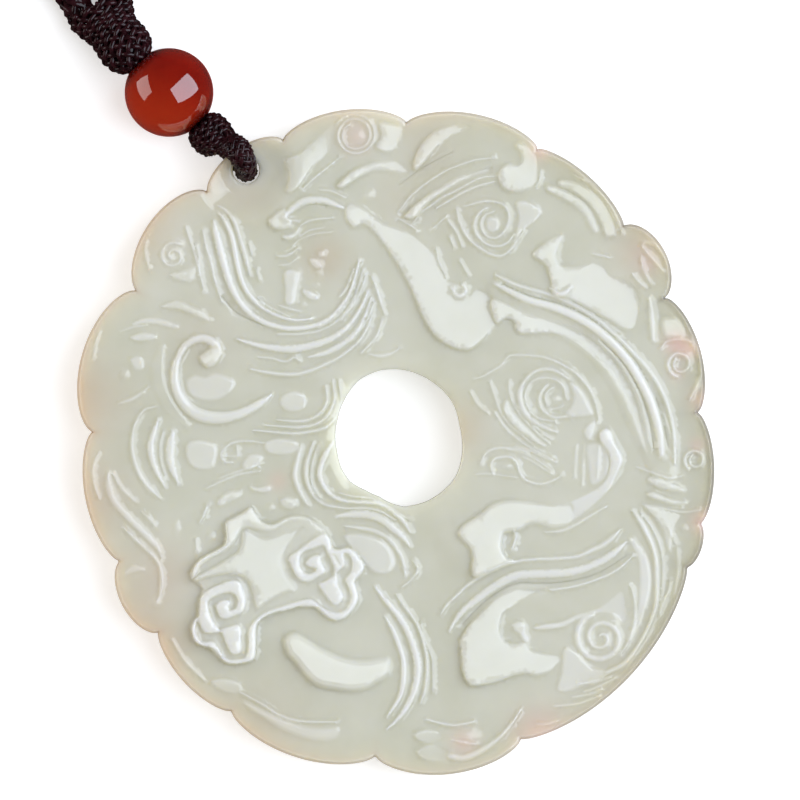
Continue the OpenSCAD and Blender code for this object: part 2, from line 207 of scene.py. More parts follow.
def cord_finish():
    f = Finish("braided_cord")
    fibres = f.noise(1500, 2, 0.6)
    body = f.layers((0.008, 0.0012, 0.002), (f.between(fibres, 0.35, 0.75), (0.034, 0.007, 0.010)))
    bump = f.add("ShaderNodeBump", {}, {"Height": fibres, "Strength": 0.6, "Distance": 0.1 * MM})
    return f.set(Base_Color=body, Roughness=0.18, Specular_IOR_Level=0.33, Normal=bump)


def floor_finish():
    return Finish("pale_floor").set(
        Base_Color=(0.8, 0.8, 0.8, 1), Roughness=0.9, Specular_IOR_Level=0.1,
        Emission_Color=(1, 1, 1, 1), Emission_Strength=0.45)


def finished(bm, name, material, replaces=None):
    """Makes a smooth object of a bmesh in metres and, where it replaces a part, ties it to the root and
    hides that part.
    """
    mesh = bpy.data.meshes.new(name)
    bm.to_mesh(mesh)
    bm.free()
    mesh.materials.append(material)
    for face in mesh.polygons:
        face.use_smooth = True
    piece = bpy.data.objects.new(name, mesh)
    bpy.context.collection.objects.link(piece)
    if replaces:
        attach(piece, "root")
        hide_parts(replaces)
    return piece


# The stone's size in mm and its outline, as in the solid model: the middle of the outline
# and its half sizes in px, and the rim's lobes, turning left from the right-hand side.
# Columns of a lobe: start angle, notch radius and rise in per cent of the half size
DISC_W, DISC_H = 57.2, 60.5
OUTLINE_MIDDLE = AXIS + np.array([-0.0063 * DISC_W, 0.0089 * DISC_H]) / PX
HALF_SIZE = np.array([DISC_W, DISC_H]) / 2 / PX
LOBES = np.array([
    (5.5, 95.4, 4.6), (27, 95.1, 6.4), (42, 96.5, 2.7), (63, 98.2, 4.4), (88, 95.3, 4.5),
    (111.5, 96.9, 4.8), (128.5, 95.4, 7.3), (151, 93.4, 7.9), (178, 95.6, 4.6), (202, 93.8, 5.2),
    (217, 93.7, 3.3), (237, 95.1, 4.6), (266, 93.3, 5.3), (294, 96.4, 3.7), (338, 98.8, 2.5),
    (346, 98.8, 3.5),
])
LOBE_FULLNESS = 0.6
# Heights in mm of the face's ground, the rim's edge, the collar round the middle hole
# and the ear round the cord hole
GROUND_Z, RIM_Z, COLLAR_Z, EAR_Z = 5.1, 2.3, 5.0, 4.6
# The carving's heights in the table below are scaled by this
RELIEF = 0.5
# Painted highlight of a raised line for each px of its half width, and at most; of a band; and painted shade
# of a cut
LINE_PAINTED_HIGHLIGHT, MOST_PAINTED_HIGHLIGHT, BAND_PAINTED_HIGHLIGHT, CUT_PAINTED_SHADE = 0.11, 0.55, 0.45, -0.5
# The flat kinds of form and their painted highlight
FLAT = {"plane": 0.15, "facet": 0.55, "patch": 0.33, "base": 0.15}
# Sharpness of a coil's top, its steps in a turn and at least, and a line's least half width in px
COIL_SHARP, COIL_STEPS, LEAST_STEPS, LEAST_WIDTH = 2, 18, 8, 0.3
# Lines with a top at least this flat keep the painted highlight of what they lie on
FLAT_TOP = 4
# Width of the rim that the lights shine through, as a share of the way to the outline; it gets painted shade
# and is warmer
LIT_RIM = 0.028
# The face falls by this many mm to the rim, from this share of the way on. The rounded lip's
# width is a share too, and the back is flat up to BACK_END
FACE_FALL, FALL_START = 0.03, 0.84
LIP_SHARE, BACK_END = 0.010, 0.93
# Places that are this near the outline, as a share, lie on it
ON_OUTLINE = 5e-5
# The middle hole's uneven edge. Columns: angle in degrees and distance from the axis in px
HOLE_EDGE = np.array([
    (11.7, 60.5), (34, 62.7), (56.6, 63.5), (72, 65.1), (87, 67.1), (107, 69.5), (126, 70), (145, 67),
    (163, 64.8), (192.5, 64.5), (209, 66.5), (222, 66.8), (237, 63.5), (251, 63.2), (263, 67), (273, 69.6),
    (291, 69.6), (311, 68.8), (325, 68.2), (345.5, 64), (357, 62),
])
# The cord hole and the ear round it in px, and in mm the bridge between the hole and the rim
# and the height of the cord's seat in the back
CORD_HOLE_R = 1.2 / PX
EAR_W, EAR_BLEND = 1.0 / PX, 2.6 / PX
BRIDGE_W, SEAT_H = 0.9, 2.4
HANGER_LEAN = radians(14.7)


def lobe_at(angle):
    """The outline's radius as a share of the half size, at stretched angles in degrees."""
    turned = np.where(angle < LOBES[0, 0], angle + 360, angle)
    i = np.searchsorted(LOBES[:, 0], turned, side="right") - 1
    here, there = LOBES[i], LOBES[(i + 1) % len(LOBES)]
    end = np.where(there[:, 0] <= here[:, 0], there[:, 0] + 360, there[:, 0])
    t = (turned - here[:, 0]) / (end - here[:, 0])
    notch = here[:, 1] + (there[:, 1] - here[:, 1]) * t
    return (notch + here[:, 2] * np.maximum(4 * t * (1 - t), 0) ** LOBE_FULLNESS) / 100


def outline_points(angle, share=1.0):
    reach = lobe_at(angle % 360) * share
    a = np.radians(angle)
    return OUTLINE_MIDDLE + HALF_SIZE * np.stack([reach * np.cos(a), -reach * np.sin(a)], 1)


def outline_share(q):
    """How far out each place lies, as a share of the way to the outline; 1 for all that lies on it."""
    d = (q - OUTLINE_MIDDLE) / HALF_SIZE
    angle = np.degrees(np.arctan2(-d[:, 1], d[:, 0])) % 360
    share = np.hypot(d[:, 0], d[:, 1]) / lobe_at(angle)
    return np.where(np.abs(share - 1) < ON_OUTLINE, 1.0, share)


def hole_edge(q):
    """Distance from the axis to the middle hole's edge, on the way to each place."""
    d = q - AXIS
    angle = np.degrees(np.arctan2(-d[:, 1], d[:, 0])) % 360
    return np.interp(angle, HOLE_EDGE[:, 0], HOLE_EDGE[:, 1], period=360)


def hole_reach():
    """Distance from the middle hole's axis to the cord hole, in mm."""
    angle = 90 + degrees(HANG_TURN)
    tip = (outline_points(np.array([angle]))[0] - AXIS) * PX
    return float(np.hypot(*tip)) - BRIDGE_W - CORD_HOLE_R * PX


CORD_HOLE_Y = hole_reach()
CORD_HOLE = np.array(to_drawing(0.0, CORD_HOLE_Y))


def smooth_line(points, closed=False, step=3.0):
    """A smooth curve through rows of x, y and any further columns."""
    p = np.array(points, float)
    n = len(p)
    if n < 3 and not closed:
        count = max(2, int(np.hypot(*(p[-1] - p[0])[:2]) / step) + 1)
        t = np.linspace(0, 1, count)[:, None]
        return p[0] + (p[-1] - p[0]) * t
    rows = []
    for i in range(n if closed else n - 1):
        if closed:
            a, b, c, d = p[i - 1], p[i], p[(i + 1) % n], p[(i + 2) % n]
        else:
            b, c = p[i], p[i + 1]
            a = p[i - 1] if i else 2 * b - c
            d = p[i + 2] if i + 2 < n else 2 * c - b
        count = max(2, int(np.hypot(*(c - b)[:2]) / step + 0.5))
        t = (np.arange(count) / count)[:, None]
        rows.append(0.5 * (2 * b + (c - a) * t + (2 * a - 5 * b + 4 * c - d) * t ** 2
                           + (3 * b - a - 3 * c + d) * t ** 3))
    if not closed:
        rows.append(p[-1:])
    return np.concatenate(rows)


def spiral_line(x, y, radius, turns, start, inner, hand, width):
    """A spiral from its outer end inward, with its half width from outside to inside."""
    t = np.linspace(0, 1, max(LEAST_STEPS, int(turns * COIL_STEPS)))
    r = radius + (inner - radius) * t
    a = np.radians(start) + hand * tau * turns * t
    w = width[0] + (width[1] - width[0]) * t
    return np.stack([x + r * np.cos(a), y - r * np.sin(a), w], 1)


def nearest(q, line):
    """Distance of each place to a line, and the line's third column there."""
    best = np.full(len(q), 1e9)
    width = np.ones(len(q))
    for a, b in zip(line[:-1], line[1:]):
        run = b[:2] - a[:2]
        off = q - a[:2]
        t = np.clip(off @ run / max(run @ run, 1e-9), 0, 1)
        d = off - t[:, None] * run
        near = (d ** 2).sum(1)
        hit = near < best
        best[hit] = near[hit]
        if len(a) > 2:
            width[hit] = a[2] + (b[2] - a[2]) * t[hit]
    return np.sqrt(best), np.maximum(width, LEAST_WIDTH)


def inside(q, border):
    """True where a place lies inside a closed border."""
    x, y = q[:, 0], q[:, 1]
    odd = np.zeros(len(q), bool)
    for a, b in zip(border, np.roll(border, -1, 0)):
        crosses = (a[1] > y) != (b[1] > y)
        with np.errstate(divide="ignore", invalid="ignore"):
            at = a[0] + (y - a[1]) * (b[0] - a[0]) / (b[1] - a[1])
        odd ^= crosses & (x < at)
    return odd


def soft_step(t):
    t = np.clip(t, 0, 1)
    return t * t * (3 - 2 * t)


def rounded(t):
    """A quarter circle's rise, steep at 0 and level from 1 on."""
    return np.sqrt(1 - (1 - np.clip(t, 0, 1)) ** 2)


def from_holes(q):
    """Distance of each place from the middle hole's edge and from the cord hole's, in px."""
    return np.hypot(*(q - AXIS).T) - hole_edge(q), np.hypot(*(q - CORD_HOLE).T) - CORD_HOLE_R


# The carving, cut in this order, in places of the drawing. Heights are in mm over the ground.
# plane, facet, patch and base: height at the middle, width of the rounded border, fall in mm
#     per 100 px to the right and down, and the outline's points. They differ in their painted highlight
# ridge, band and groove: height or depth, sharpness of the top (1 is pointed, 2 round, 4 flat),
#     and rows of x, y and half width
# mound: height, and x, y, half sizes and turn in degrees
# coil: height of a raised spiral, and the spiral's values
def mane():
    """The dragon's mane: strands that sweep in a bowl under its jaw."""
    yield "ridge", 0.3, 2, [(203, 231, 1.2), (206, 245, 2), (211, 262, 2.1), (215, 280, 1.9), (222, 302, 1)]
    yield "ridge", 0.2, 2, [(195, 243, 1), (199, 257, 1.5), (200, 275, 1)]
    yield "band", 0.55, 3.5, [
        (214, 222, 1.6), (216, 232, 3.6), (220, 248, 4.4), (224, 263, 4.4), (228, 277, 4.2), (233, 290, 4),
        (240, 302, 3.6), (249, 312, 3.4), (260, 320, 3.2), (272, 325, 3), (286, 328, 3), (300, 328, 3),
        (313, 326, 2.8), (325, 321, 2.4), (336, 312, 2.1), (346, 299, 1.9), (353, 284, 1.8),
        (359, 262, 1.4)]
    yield "band", 0.45, 3, [
        (221, 215, 1.4), (227, 225, 2.5), (232, 237, 2.7), (235, 251, 2.7), (238, 266, 2.7),
        (242, 281, 2.7), (248, 293, 2.6), (257, 303, 2.4), (268, 311, 2.2), (281, 317, 2), (295, 320, 1.8),
        (310, 319, 1.2)]
    yield "ridge", 0.35, 3, [
        (219, 206, 1.4), (227, 211, 2.4), (234, 221, 2.8), (238, 233, 2.8), (242, 246, 2.8),
        (246, 259, 2.6), (250, 274, 1.4)]
    yield "groove", 0.2, 1.5, [(228, 215, 1), (235, 229, 1.2), (240, 246, 1.2), (245, 262, 1)]
    yield "ridge", 0.25, 2, [(249, 244, 1.2), (252, 254, 1.4)]
    yield "ridge", 0.25, 2, [(257, 271, 1.2), (259, 279, 1.4)]
    yield "ridge", 0.2, 2, [(258, 298, 1), (268, 306, 1.5), (280, 312, 1.5), (291, 317, 1)]
    yield "ridge", 0.3, 2, [(281, 306, 1.4), (290, 309, 2), (299, 311, 1.2)]
    yield "band", 0.5, 3.5, [
        (238, 339, 1.4), (250, 343, 2.4), (262, 346, 3.2), (275, 348, 3.9), (290, 349, 4.3),
        (305, 347, 4.3), (320, 343, 4), (332, 338, 3.6), (344, 330, 3), (354, 319, 2.6), (362, 306, 2.2),
        (367, 294, 1.4)]
    yield "band", 0.4, 3, [
        (309, 357, 1.4), (322, 354, 2.8), (334, 349, 3.4), (344, 343, 3.2), (353, 335, 2.6),
        (360, 325, 2.2), (366, 313, 1.9), (371, 298, 1.2)]
    yield "ridge", 0.4, 2, [
        (251, 369, 1.4), (265, 372, 2.2), (281, 374, 2.5), (297, 374, 2.5), (312, 370, 2.4),
        (326, 364, 2.2), (338, 358, 2.2), (349, 350, 2), (359, 341, 1.9), (366, 330, 1.8), (372, 316, 1.2)]
    yield "ridge", 0.3, 2, [
        (259, 357, 1.2), (272, 358, 1.8), (281, 361, 1.8), (288, 361, 1.7), (294, 357, 1.7), (299, 361, 1)]
    for strand in (
            [(278, 334), (300, 334), (318, 331), (333, 324), (345, 313), (353, 300), (359, 285),
             (363, 270)],
            [(318, 327), (330, 321), (342, 310), (349, 297), (354, 284)],
            [(340, 296), (346, 289), (350, 280), (354, 269)],
            [(350, 341), (360, 330), (368, 318), (374, 303)],
            [(361, 353), (369, 345), (377, 335), (382, 321)],
            [(366, 275), (361, 290), (353, 305), (341, 320)],
            [(372, 276), (376, 287), (380, 300), (385, 314)]):
        yield "ridge", 0.3, 2, [(x, y, 1.7) for x, y in strand]
    yield "ridge", 0.25, 2, [(369, 354, 1.2), (380, 356, 2.6), (390, 354, 2.2), (399, 349, 1)]


def dragon_head():
    """Crest, brow, cheek and jaw of the dragon."""
    yield "plane", 0.25, 3, (0.66, -0.15), [
        (269, 221), (274, 215), (280, 211), (285, 209), (287, 217), (291, 221), (291, 226), (284, 229),
        (276, 229), (271, 226)]
    yield "band", 0.5, 3, [
        (285, 217, 1.6), (290, 211, 3.4), (296, 206, 4), (303, 202, 4.4), (312, 200, 4.4), (322, 200, 3.8),
        (332, 203, 3.4), (343, 208, 1.6)]
    yield "groove", 0.2, 1, [(294, 211, 1), (303, 205, 1.6), (314, 204, 1.4), (326, 206, 1)]
    yield "ridge", 0.25, 2, [(288, 220, 1.4), (298, 221, 1.8)]
    yield "ridge", 0.3, 2, [(300, 226, 1.2), (308, 221, 1.7), (318, 219, 1.7), (331, 218, 1.2)]
    yield "plane", 0.15, 2, (0.6, -0.2), [
        (282, 236), (289, 235), (294, 232), (300, 226), (298, 233), (292, 239), (287, 240)]
    for fold in (
            [(302, 235), (310, 230), (322, 228)], [(303, 238), (315, 234), (331, 232)],
            [(292, 246), (299, 240)], [(287, 251), (294, 247)], [(280, 265), (289, 264), (297, 258)]):
        yield "ridge", 0.2, 2, [(x, y, 1.4) for x, y in fold]
    yield "ridge", 0.35, 2, [(278, 256, 1.4), (286, 256, 1.9), (292, 253, 1.8), (297, 249, 1.2)]
    yield "patch", 0.12, 2.4, (0.4, -0.1), [
        (285, 272), (299, 272), (297, 285), (294, 303), (286, 303), (286, 289)]
    yield "patch", 0.1, 1.6, (0.5, 0), [(319, 252), (324, 251), (324, 256), (319, 257)]
    yield "patch", 0.1, 1.6, (0.5, 0), [(310, 259), (316, 259), (322, 267), (316, 268), (311, 264)]
    for x, y in ((313, 270), (319, 272), (311, 276), (317, 279), (313, 284), (318, 286), (309, 270),
                 (321, 276)):
        yield "mound", 0.2, (x, y, 3, 2.6, 20)
    yield "patch", 0.1, 1.6, (0.5, 0), [
        (303, 290), (310, 291), (318, 296), (316, 300), (308, 298), (304, 294)]
    yield "mound", 0.25, (303, 304, 3.6, 3.2, 0)


def neck_and_ribbon():
    """The dragon's neck, cut as one bright plane, and the ribbed band over it."""
    yield "plane", 0.12, 2.4, (0.48, -0.48), [
        (346, 208), (353, 205), (363, 209), (372, 216), (384, 224), (399, 229), (417, 239), (431, 251),
        (437, 262), (440, 273), (447, 281), (456, 284), (463, 286), (465, 292), (470, 296), (478, 289),
        (489, 295), (502, 304), (516, 313), (512, 322), (499, 319), (492, 328), (483, 339), (470, 349),
        (455, 348), (438, 338), (425, 321), (416, 300), (409, 284), (400, 268), (388, 250), (376, 234),
        (364, 224), (354, 227), (347, 220)]
    yield "ridge", 0.45, 2, [
        (463, 285, 2.2), (466, 291, 2.6), (461, 296, 2.8), (455, 294, 2.4), (453, 290, 1.6)]
    yield "ridge", 0.3, 2, [
        (399, 211, 1), (410, 197, 1.5), (420, 188, 1.6), (431, 180, 1.7), (445, 171, 1.7), (460, 165, 1.6),
        (475, 160, 1.6), (492, 158, 1)]
    yield "plane", 0.16, 2, (0.45, -0.5), [
        (405, 217), (411, 209), (419, 202), (431, 193), (443, 186), (455, 178), (470, 173), (485, 168),
        (492, 167), (491, 173), (478, 176), (465, 180), (455, 185), (443, 192), (431, 200), (422, 208),
        (415, 217)]
    yield "ridge", 0.3, 2, [
        (413, 223, 1.2), (422, 212, 1.6), (433, 204, 1.7), (443, 197, 1.7), (455, 191, 1.7),
        (468, 184, 1.7), (480, 178, 1.6), (493, 176, 1)]
    yield "ridge", 0.35, 2, [
        (437, 208, 1.2), (450, 200, 1.8), (462, 193, 1.9), (475, 187, 1.9), (485, 184, 1.8),
        (493, 182, 1.2)]
    yield "ridge", 0.25, 2, [(398, 218, 1.1), (408, 224, 1.5), (417, 230, 1.1)]
    yield "plane", 0.14, 2.2, (0.62, -0.29), [
        (414, 169), (417, 154), (427, 138), (440, 129), (455, 125), (471, 126), (462, 131), (449, 137),
        (438, 146), (429, 156), (420, 166)]
    yield "groove", 0.2, 1, [(400, 184, 1), (424, 167, 1.3), (452, 152, 1)]
    yield "plane", 0.13, 2.4, (0.68, 0), [
        (520, 143), (530, 151), (537, 160), (538, 173), (534, 185), (523, 191), (510, 191), (502, 186),
        (499, 177), (502, 168), (510, 164), (517, 166), (522, 161), (520, 152), (516, 146)]
    yield "ridge", 0.3, 2, [(541, 172, 1.2), (540, 180, 1.4), (536, 187, 1)]
    for row in (
            [(432, 229), (439, 223), (446, 217)], [(450, 237), (454, 247)], [(457, 233), (462, 246)],
            [(437, 250), (439, 262), (446, 276)], [(449, 222), (455, 230)], [(461, 262), (468, 274)]):
        yield "ridge", 0.25, 2, [(x, y, 1.4) for x, y in row]


def upper_spiral():
    """The spiral in its leaf frame, right of the neck."""
    yield "patch", 0.08, 2, (0.3, -0.1), [
        (516, 203), (523, 201), (532, 204), (541, 211), (536, 219), (528, 226), (520, 233), (514, 242),
        (517, 230), (519, 220), (518, 210)]
    yield "ridge", 0.3, 2, [
        (457, 210, 1.2), (459, 220, 1.8), (464, 232, 1.9), (470, 240, 2), (480, 248, 2), (490, 254, 2),
        (500, 256, 2), (508, 252, 1.9), (516, 242, 1.7), (524, 231, 1.2)]
    yield "ridge", 0.3, 2, [
        (466, 206, 1.2), (476, 203, 1.8), (487, 201, 1.8), (497, 202, 1.8), (505, 206, 1.8),
        (509, 214, 1.8), (508, 224, 1.8), (503, 233, 1.8), (495, 238, 1.8), (487, 236, 1.8),
        (482, 230, 1.8), (481, 222, 1.8), (485, 215, 1.7), (493, 212, 1.2)]
    yield "ridge", 0.3, 2, [
        (486, 208, 1.2), (479, 213, 1.8), (475, 221, 1.9), (475, 231, 1.9), (480, 239, 1.9),
        (489, 245, 1.9), (500, 246, 1.8), (508, 242, 1.6), (514, 234, 1.2)]
    yield "patch", 0.06, 3, (0.1, 0), [
        (487, 219), (493, 217), (498, 221), (498, 228), (493, 232), (487, 229)]


def haunch():
    """The fin and haunch plane at the upper right, and the crescents over it."""
    yield "plane", 0.15, 2.2, (0.59, -0.34), [
        (547, 186), (562, 189), (578, 199), (590, 212), (597, 231), (592, 230), (584, 215), (572, 204),
        (558, 196), (548, 191)]
    yield "plane", 0.2, 2.2, (0.59, -0.34), [
        (560, 180), (577, 183), (592, 193), (604, 207), (611, 221), (614, 234), (606, 236), (601, 223),
        (593, 209), (582, 198), (570, 190), (560, 186)]
    yield "ridge", 0.3, 2, [
        (574, 175, 1), (588, 183, 1.5), (600, 193, 1.8), (611, 207, 1.8), (618, 220, 1.8), (622, 232, 1.2)]
    yield "ridge", 0.2, 2, [(607, 206, 1), (613, 216, 1.3), (618, 229, 1)]
    yield "plane", 0.12, 2.4, (0.55, -0.4), [
        (562, 236), (558, 247), (556, 258), (562, 266), (578, 267), (594, 263), (605, 267), (609, 274),
        (625, 281), (634, 287), (640, 300), (638, 317), (628, 330), (609, 320), (588, 308), (572, 300),
        (556, 294), (552, 283), (547, 267), (541, 261), (533, 254), (543, 245), (552, 239)]
    yield "ridge", 0.5, 2, [(551, 288, 2), (557, 294, 3), (565, 293, 3), (570, 288, 2.4)]
    yield "ridge", 0.25, 2, [(594, 254, 1.4), (600, 255, 1.8), (607, 257, 1.2)]
    yield "ridge", 0.3, 2, [
        (642, 247, 1.4), (645, 242, 2.2), (652, 243, 2.6), (661, 250, 2.8), (667, 260, 2.4),
        (668, 266, 1.2)]
    yield "ridge", 0.25, 2, [(643, 248, 1.2), (649, 255, 2), (656, 263, 2), (663, 271, 1.4)]
    yield "ridge", 0.25, 2, [(641, 259, 1.2), (644, 271, 1.7), (651, 284, 1.2)]
    yield "ridge", 0.25, 2, [(633, 275, 1.2), (638, 281, 1.5), (645, 288, 1)]


def long_band():
    """The long grooved band from the neck round the right side to its tie."""
    yield "ridge", 0.3, 5, [
        (500, 288, 13), (520, 300, 15), (545, 312, 16), (570, 324, 17), (595, 340, 18), (614, 358, 20),
        (631, 382, 21), (644, 410, 21), (654, 434, 20), (660, 455, 17), (664, 472, 14)]
    yield "plane", 0.25, 2.2, (0.54, -0.41), [
        (492, 300), (511, 306), (528, 315), (556, 322), (581, 332), (602, 347), (617, 363), (628, 381),
        (637, 402), (643, 426), (648, 452), (642, 446), (635, 420), (624, 392), (610, 370), (594, 355),
        (584, 347), (572, 339), (551, 333), (520, 333), (515, 322), (506, 318), (496, 322)]
    yield "ridge", 0.5, 3, [
        (496, 284, 2.4), (526, 299, 4.2), (556, 308, 4.6), (581, 319, 5), (603, 334, 5.2), (624, 355, 5.4),
        (639, 378, 5.4), (651, 402, 5.2), (659, 430, 4.8), (662, 455, 3.4)]
    yield "groove", 0.25, 1.5, [
        (600, 340, 1), (622, 362, 1.6), (638, 388, 1.8), (649, 420, 1.6), (654, 450, 1)]
    yield "ridge", 0.4, 2, [
        (496, 275, 1.6), (517, 285, 2.2), (548, 294, 2.4), (572, 304, 2.5), (597, 319, 2.6),
        (618, 337, 2.7), (635, 354, 2.8), (651, 373, 2.8), (664, 396, 2.7), (672, 422, 2.5),
        (675, 446, 2.2), (675, 464, 1.6)]
    yield "groove", 0.3, 1.5, [
        (502, 284, 1.2), (530, 296, 1.8), (560, 304, 1.8), (588, 317, 1.8), (612, 336, 1.8),
        (634, 360, 1.8), (649, 384, 1.8), (660, 410, 1.8), (668, 445, 1.4)]
    yield "ridge", 0.2, 2, [(637, 467, 1.2), (653, 473, 1.8), (670, 478, 1.8), (681, 476, 1.2)]


def right_lobes():
    """The tie of the band and the small forms on the right-hand lobes."""
    yield "coil", 0.4, (680, 364, 13, 1.3, 250, 6, -1, (2.4, 1.6))
    yield "plane", 0.1, 4, (0.55, -0.2), [
        (662, 321), (672, 318), (681, 325), (684, 336), (672, 338), (664, 336)]
    yield "ridge", 0.3, 2, [(662, 347, 1.2), (668, 341, 1.6), (688, 340, 1.8), (694, 348, 1.6)]
    yield "ridge", 0.35, 2, [
        (697, 345, 1.2), (701, 358, 2.2), (701, 374, 2.6), (696, 388, 2.6), (690, 399, 1.4)]
    yield "ridge", 0.25, 3, [(650, 300, 2.4), (652, 322, 3.6), (653, 340, 2.4)]
    yield "coil", 0.4, (695, 460, 11, 1.3, 230, 5, -1, (2.2, 1.5))
    yield "plane", 0.15, 2.2, (0.6, -0.3), [
        (648, 480), (652, 477), (665, 481), (677, 485), (684, 491), (676, 491), (664, 489), (653, 485)]
    yield "plane", 0.15, 2.2, (0.6, -0.3), [
        (647, 495), (653, 492), (665, 497), (677, 500), (688, 503), (680, 505), (670, 504), (658, 500),
        (650, 497)]
    yield "ridge", 0.25, 2, [
        (644, 505, 1.2), (659, 507, 1.6), (671, 510, 1.6), (683, 512, 1.6), (700, 510, 1)]
    for x, y in ((682, 508), (684, 529), (630, 540)):
        yield "mound", 0.3, (x, y, 2.6, 2.6, 0)
    yield "plane", 0.12, 2.2, (0.65, 0), [
        (645, 506), (662, 509), (680, 515), (676, 521), (673, 528), (671, 540), (669, 551), (666, 541),
        (663, 530), (656, 519)]
    yield "ridge", 0.08, 3, [(632, 540, 3), (643, 560, 5), (645, 585, 6), (640, 615, 4), (630, 640, 2)]
    yield "ridge", 0.45, 2, [
        (633, 511, 1.2), (638, 518, 2.4), (645, 530, 3), (652, 545, 2.6), (656, 560, 2.4), (657, 578, 2.4),
        (657, 595, 2.4), (655, 610, 2.4), (649, 626, 2.4), (641, 641, 2.4), (632, 655, 2.6),
        (622, 665, 2.8), (610, 671, 2.6), (598, 676, 2.2), (584, 680, 1.4)]
    yield "ridge", 0.2, 2, [
        (640, 512, 1), (652, 528, 1.5), (660, 546, 1.6), (663, 565, 1.6), (662, 590, 1.6), (659, 616, 1.2)]
    yield "ridge", 0.25, 2, [
        (670, 581, 1), (669, 590, 1.7), (665, 598, 1.9), (662, 606, 1.6), (660, 614, 1)]
    yield "ridge", 0.12, 2, [(668, 527, 1.2), (672, 535, 2), (675, 543, 1.2)]
    yield "ridge", 0.1, 2, [(677, 550, 1.2), (678, 572, 2), (673, 596, 1.2)]


def main_spiral():
    """The large spiral in its arch, with the hair bars and the small bird's eye left of it."""
    yield "ridge", 0.22, 2, [
        (477, 378, 1), (484, 376, 1.6), (492, 371, 1.7), (500, 366, 1.7), (507, 358, 1.7), (513, 355, 1.8),
        (538, 356, 1.8), (550, 359, 1.8), (561, 364, 1.7), (573, 371, 1.7), (583, 381, 1.7),
        (591, 392, 1.7), (596, 404, 1.7), (598, 414, 1.6), (599, 421, 1)]
    yield "patch", 0.1, 3, (0.1, 0), [
        (570, 382), (578, 388), (584, 396), (590, 408), (592, 414), (583, 416), (572, 416), (566, 413),
        (572, 406), (574, 398), (573, 390)]
    yield "ridge", 0.3, 3, [
        (567, 378, 1.4), (558, 372, 2), (547, 369, 2.2), (536, 371, 2.3), (527, 378, 2.4), (521, 388, 2.6),
        (520, 398, 3), (523, 409, 3), (530, 418, 2.8), (540, 425, 2.6), (549, 429, 2.4), (556, 432, 1.4)]
    yield "ridge", 0.22, 2, [
        (556, 421, 1), (545, 420, 1.6), (535, 416, 1.8), (528, 408, 1.8), (525, 398, 1.8), (527, 388, 1.8),
        (533, 381, 1.9), (541, 378, 2), (550, 378, 1.8), (558, 381, 1.7), (564, 388, 1.7), (566, 398, 1.2)]
    yield "ridge", 0.22, 2, [
        (546, 385, 1.2), (541, 392, 1.8), (539, 400, 2), (541, 408, 2.2), (546, 413, 2.2), (553, 417, 2.2),
        (562, 417, 2), (574, 416, 1.2)]
    yield "ridge", 0.3, 2, [(552, 388, 1.2), (547, 392, 1.6), (545, 398, 1.8), (547, 404, 1.4)]
    yield "mound", 0.3, (555, 399, 6, 3.5, 15)
    yield "ridge", 0.25, 2, [(553, 409, 1.2), (562, 407, 1.2)]
    yield "plane", 0.12, 2, (0.5, -0.45), [
        (506, 400), (511, 411), (519, 421), (529, 431), (539, 441), (547, 446), (540, 445), (529, 438),
        (518, 430), (508, 419), (503, 409)]
    for bar in (
            [(495, 413), (505, 428), (520, 441), (535, 450), (552, 459)],
            [(498, 408), (507, 422), (520, 434), (534, 445)],
            [(509, 382), (510, 395), (516, 409), (526, 422), (538, 434), (549, 443)],
            [(516, 405), (528, 420), (541, 432), (552, 440)], [(471, 393), (478, 405), (488, 413)],
            [(490, 382), (494, 394), (497, 404)], [(507, 449), (525, 454), (540, 462), (551, 470)],
            [(515, 446), (531, 451), (545, 458), (556, 462)], [(523, 457), (533, 462), (552, 474)]):
        yield "ridge", 0.15, 2, [(x, y, 1.4) for x, y in bar]
    yield "ridge", 0.25, 2, [
        (481, 462, 1.2), (485, 454, 1.8), (493, 449, 2), (503, 448, 2), (516, 449, 1.8), (530, 453, 1.2)]
    yield "ridge", 0.3, 2, [
        (493, 474, 1.2), (491, 466, 1.7), (494, 459, 1.8), (502, 457, 1.8), (510, 457, 1.8),
        (516, 462, 1.8), (519, 470, 1.8), (523, 478, 1.8), (531, 482, 1.8), (541, 484, 1.8),
        (552, 481, 1.8), (561, 476, 1.2)]
    yield "mound", 0.3, (508, 466, 5.5, 2.8, -10)
    yield "ridge", 0.2, 2, [(477, 474, 1.2), (490, 474, 1.4), (515, 477, 1)]
    yield "patch", 0.05, 4, (0.1, 0), [
        (588, 446), (606, 446), (609, 465), (604, 478), (592, 484), (589, 466)]
    for x, low in ((576, 478), (584, 486), (599, 480)):
        yield "ridge", 0.07, 2, [(x, 446, 1.2), (x - 1, 462, 1.6), (x - 2, low, 1)]
    yield "patch", 0.1, 2, (0.4, -0.2), [
        (584, 432), (588, 425), (595, 421), (594, 429), (590, 440), (586, 437)]
    yield "facet", 0.12, 2.6, (0, 0.5), [
        (600, 433), (606, 429), (611, 433), (613, 440), (617, 447), (621, 455), (622, 461), (619, 470),
        (613, 482), (606, 492), (594, 504), (583, 513), (573, 520), (562, 524), (556, 524), (556, 507),
        (563, 505), (573, 501), (582, 497), (590, 493), (600, 487), (607, 478), (611, 465), (609, 453),
        (604, 446), (600, 440)]


